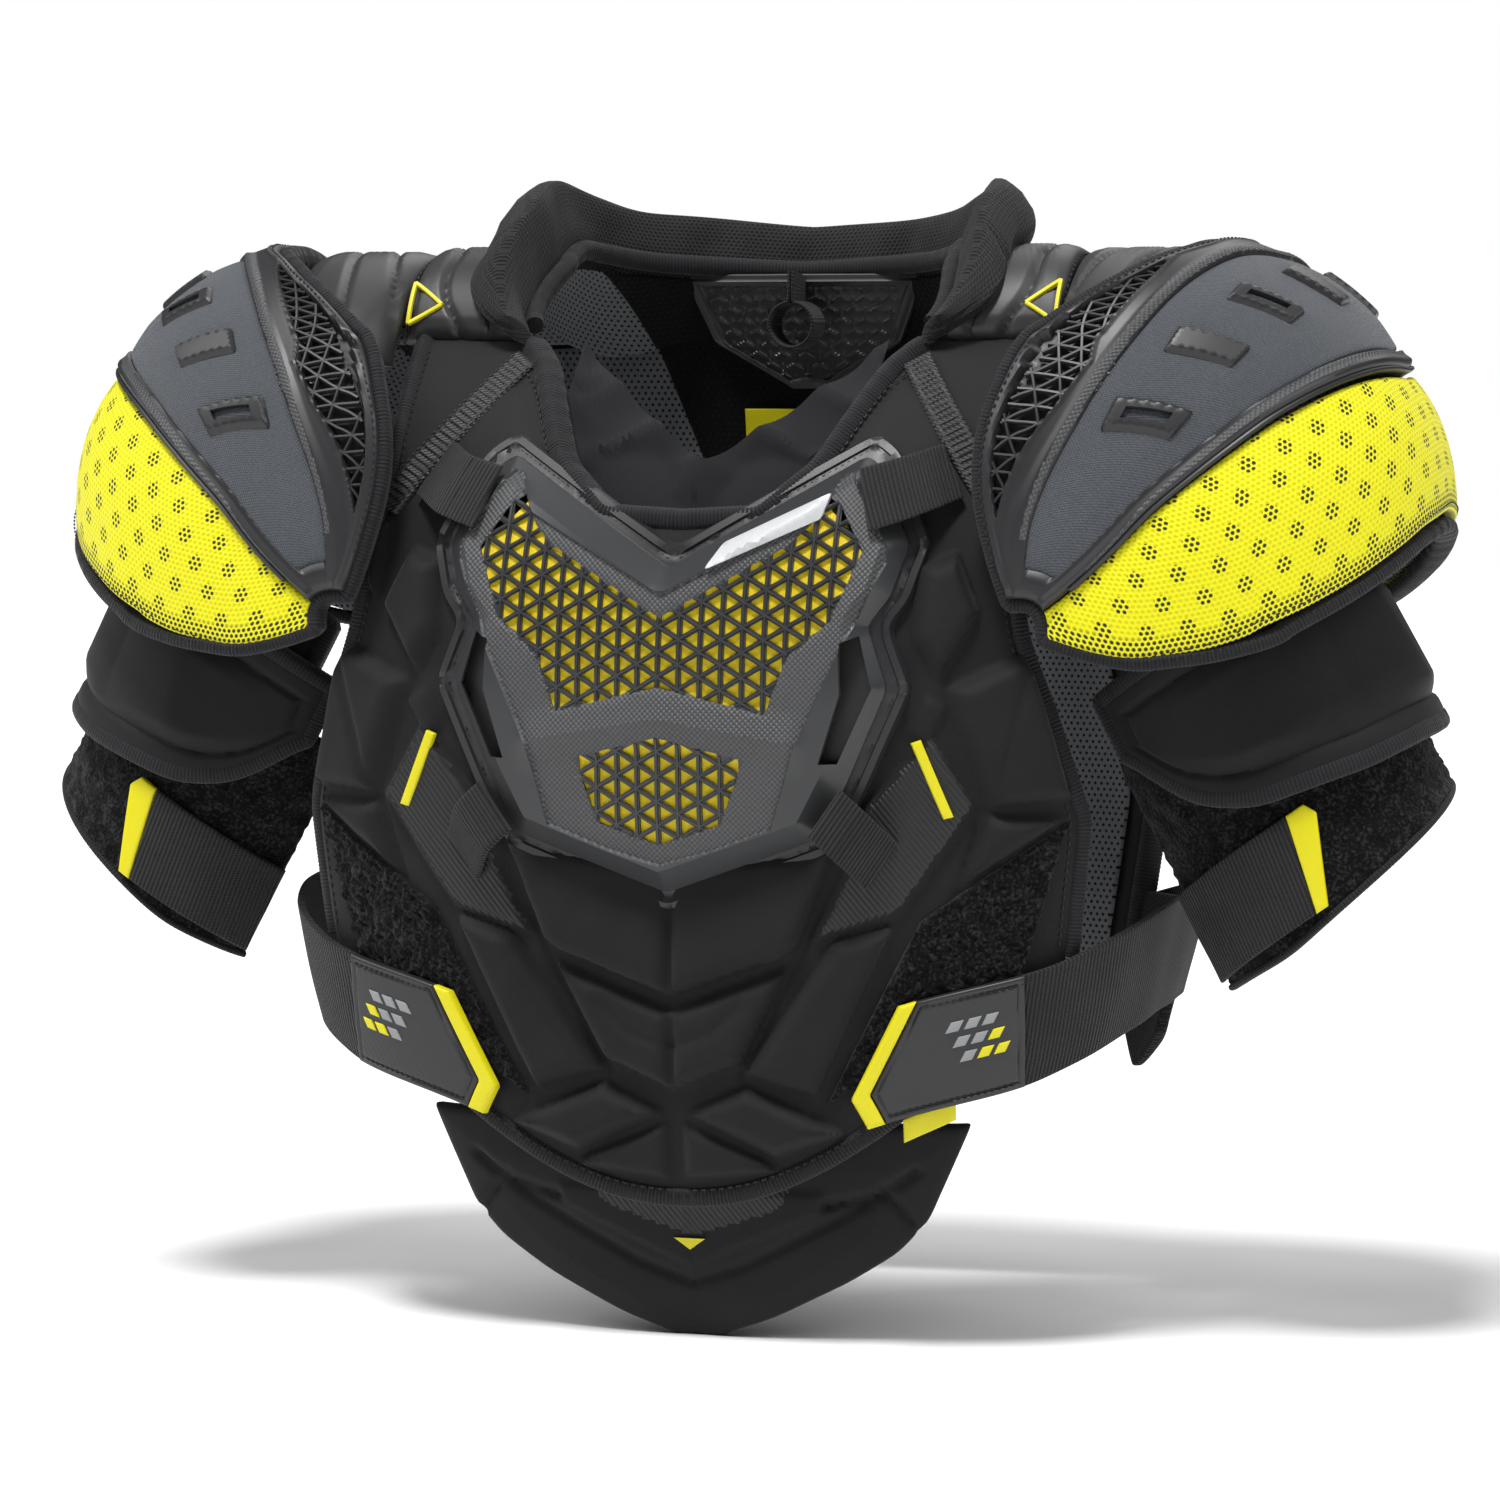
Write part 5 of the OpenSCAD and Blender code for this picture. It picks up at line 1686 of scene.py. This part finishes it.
edge_t = row(170, CAP_START, CAP_STOP)
low, high = cap_edges(edge_t, CAP_HEM, CAP_INNER)
ring_t, ring_p = round_band(edge_t, low - 1.6, high + 1.0, 24, 0.6)
tape = sweep(*rail(cap, ring_p, ring_t, -5.0), 3.4, 5.6, 0.65, 0.65, ribs=(1.9, 0.06), closed=True)
pair("cap_tape", tape, [BINDING], "cap_{}", ["cap_binding_{}"])
ridge_t = row(150, CAP_START + 4, CAP_STOP - 4)
ridge_p = lut(np.abs(ridge_t - 90), CAP_RIDGE, 4) - 0.1
pair("cap_welt", sweep(*rail(cap, ridge_p, ridge_t, 1.4), 1.1, 1.6, 1.2, 0.8, 8), [RUBBER],
     "cap_{}")
seam_t = row(130, CAP_START + 5, CAP_STOP - 4)
low, high = cap_edges(seam_t, CAP_HEM, CAP_INNER)
seam = stitches(*rail(cap, high - 0.9, seam_t, 2.6), 2.2, 1.4, 0.4)
seam.join(stitches(*rail(cap, low + 1.0, seam_t, 1.2), 2.2, 1.4, 0.4))
pair("cap_stitches", seam, [THREAD], "cap_{}")


# ---- arm guards ----------------------------------------------------------------------------

# The angles round the arm at which the wrap and the biceps pad end, behind and in front.
WRAP_ENDS, BICEP_ENDS = (152, -95), (128, -88)
STRAP_LOW, STRAP_TOP = 42, 1


def wrap_low(a):
    return lut(a, WRAP_LOW, 12)


def wrap_shape(u, v, d):
    a = mix(*WRAP_ENDS, u)
    return arm(a, mix(wrap_low(a), -52, v), d)


wrap = slab(wrap_shape, -5, -0.6, 2.0, 2.5, 0.35,
            lambda g: 0.6 * waves(g.su, g.sv, 4.0, 71) + 0.6 * waves(g.su, g.sv, 12, 72),
            back_paint=1)
pair("arm_loop_wrap", wrap, [LOOP_PILE, DARK_LINER], "arm_{}",
     ["arm_wrap_{}"])


def bicep_edges(a):
    return lut(a, PAD_LOW, 9), -86 + 9 * (np.abs(a - 20) / 110) ** 2


def bicep_shape(u, v, d):
    a = mix(*BICEP_ENDS, u)
    low, high = bicep_edges(a)
    return arm(a, mix(low, high, v), d)


def bicep_relief(g):
    """Two facets that meet on a slanting ridge, inside a pressed line that follows the edge."""
    a = mix(*BICEP_ENDS, g.u)
    front_ridge = np.abs(a - mix(86, 70, g.v))
    side_ridge = np.abs(a - mix(4, 18, g.v))
    facet = np.maximum(5.5 - 0.16 * front_ridge, 5.0 - 0.14 * side_ridge)
    inside = g.edge - 11
    return np.maximum(facet, 0) * smooth(inside / 9) - 1.8 * near(inside, 2.4)


bicep = slab(bicep_shape, 2, 10.5, 1.8, 4, 0.35, bicep_relief)
pair("arm_bicep_pad", bicep, [BLACK_KNIT], "arm_{}", ["bicep_pad_{}"], 60)
edge_a = row(120, *BICEP_ENDS)
ring = round_band(edge_a, *bicep_edges(edge_a), 16)
tape = sweep(*rail(arm, *ring, 6.0), 4.4, 5.0, 0.8, 0.65, ribs=(2.0, 0.05), closed=True)
pair("arm_bicep_tape", tape, [BINDING], "arm_{}")
rim_a = row(120, *WRAP_ENDS)
tape = sweep(*rail(arm, rim_a, wrap_low(rim_a) + 0.8, -2.6), 1.7, 3.0, 0.9, 0.8, ribs=(2.0, 0.05))
pair("arm_wrap_tape", tape, [BINDING], "arm_{}")


def hanger_shape(u, v, d):
    """The ribbon from the cap down to the arm guard; d runs through its thickness."""
    x, z = mix(238, 266, v), mix(-2, -90, v)
    return point(x + d + 2.0 * np.sin(math.pi * v), -24 + 16 * (2 * u - 1), z)


pair("arm_ribbon", slab(hanger_shape, 0.4, 2.8, 1.6, 1, 0.4), [ELASTIC], "hanger_{}",
     ["arm_hanger_{}"])


def slanted_arm(a, v, d):
    """Point on the arm strap, which runs downhill round the arm."""
    return arm(a, mix(STRAP_LOW, STRAP_TOP, v) + (a - 90) / 7, d)


def arm_strap_shape(u, v, d):
    return slanted_arm(mix(148, 91.5 - 6 * np.asarray(v), u), v, d)


pair("arm_elastic", slab(arm_strap_shape, 1, 4, 1.6, 1.2, 0.4,
                         lambda g: 0.3 * waves(g.su, g.sv, 30, 73)), [ELASTIC], "arm_band_{}",
     ["arm_strap_{}"])


def arm_tab_shape(u, v, d):
    """A narrow tab, wider at its top, with its upper corner cut off."""
    v = np.asarray(v)
    reach = mix(5.0, 12.5, v) - 5 * np.clip((v - 0.86) / 0.14, 0, 1)
    return slanted_arm(91.3 - 6 * v - reach * u, v, d)


pair("arm_tab_end", slab(arm_tab_shape, 0.8, 4.2, 1.4, 1.0, 0.4), [YELLOW], "arm_band_{}",
     ["arm_tab_{}"])
piece("seam_stitches", sewing, [THREAD], "root")

# ---- floor, light and camera ---------------------------------------------------------------

def plain(name, colour, rough):
    s = Shader(name)
    tone = s.blend(s.noise(3.0, 2.0), shaded(colour, 0.985), colour)
    return s.finish(tone, rough, None, 0, 0, 0.2)


bpy.ops.mesh.primitive_circle_add(vertices=96, radius=9, fill_type="NGON", location=(0, 0, -0.4315))
floor = bpy.context.object
floor.name = "studio_floor"
floor.data.materials.append(plain("floor_white", (0.93, 0.93, 0.93), 0.8))


def soft_sun(name, azimuth, elevation, strength, angle):
    """A broad soft light from the given compass angle (0 is the front) and height."""
    data = bpy.data.lights.new(name, "SUN")
    data.energy, data.angle = strength, math.radians(angle)
    light = bpy.data.objects.new(name, data)
    a, e = math.radians(azimuth), math.radians(elevation)
    towards = Vector((math.sin(a) * math.cos(e), -math.cos(a) * math.cos(e), math.sin(e)))
    light.rotation_euler = towards.to_track_quat("Z", "Y").to_euler()
    bpy.context.scene.collection.objects.link(light)


soft_sun("key_light", -10, 68, 2.7, 14)
soft_sun("left_light", -70, 44, 1.2, 34)
soft_sun("right_light", 74, 44, 1.1, 34)
soft_sun("back_light", 180, 45, 0.8, 40)
world = bpy.data.worlds.new("studio")
world.use_nodes = True
nodes, links = world.node_tree.nodes, world.node_tree.links
seen = nodes.new("ShaderNodeLightPath").outputs["Is Camera Ray"]
strength = nodes.new("ShaderNodeMapRange")
strength.inputs["To Min"].default_value, strength.inputs["To Max"].default_value = 0.07, 1.0
links.new(seen, strength.inputs["Value"])
links.new(strength.outputs["Result"], nodes["Background"].inputs["Strength"])
nodes["Background"].inputs["Color"].default_value = (1, 1, 1, 1)
bpy.context.scene.world = world
bpy.context.scene.view_settings.view_transform = "Standard"

AZIMUTH, ELEVATION, DISTANCE = math.radians(17), math.radians(4), 2.4
AIM = Vector((0, 0, -0.185))
away = Vector((math.sin(AZIMUTH) * math.cos(ELEVATION), -math.cos(AZIMUTH) * math.cos(ELEVATION),
               math.sin(ELEVATION)))
lens = bpy.data.cameras.new("photo_camera")
lens.lens, lens.sensor_width = 131.0, 36.0
lens.clip_end = 50
camera = bpy.data.objects.new("photo_camera", lens)
camera.location = AIM + away * DISTANCE
camera.rotation_euler = (-away).to_track_quat("-Z", "Y").to_euler()
bpy.context.scene.collection.objects.link(camera)
bpy.context.scene.camera = camera
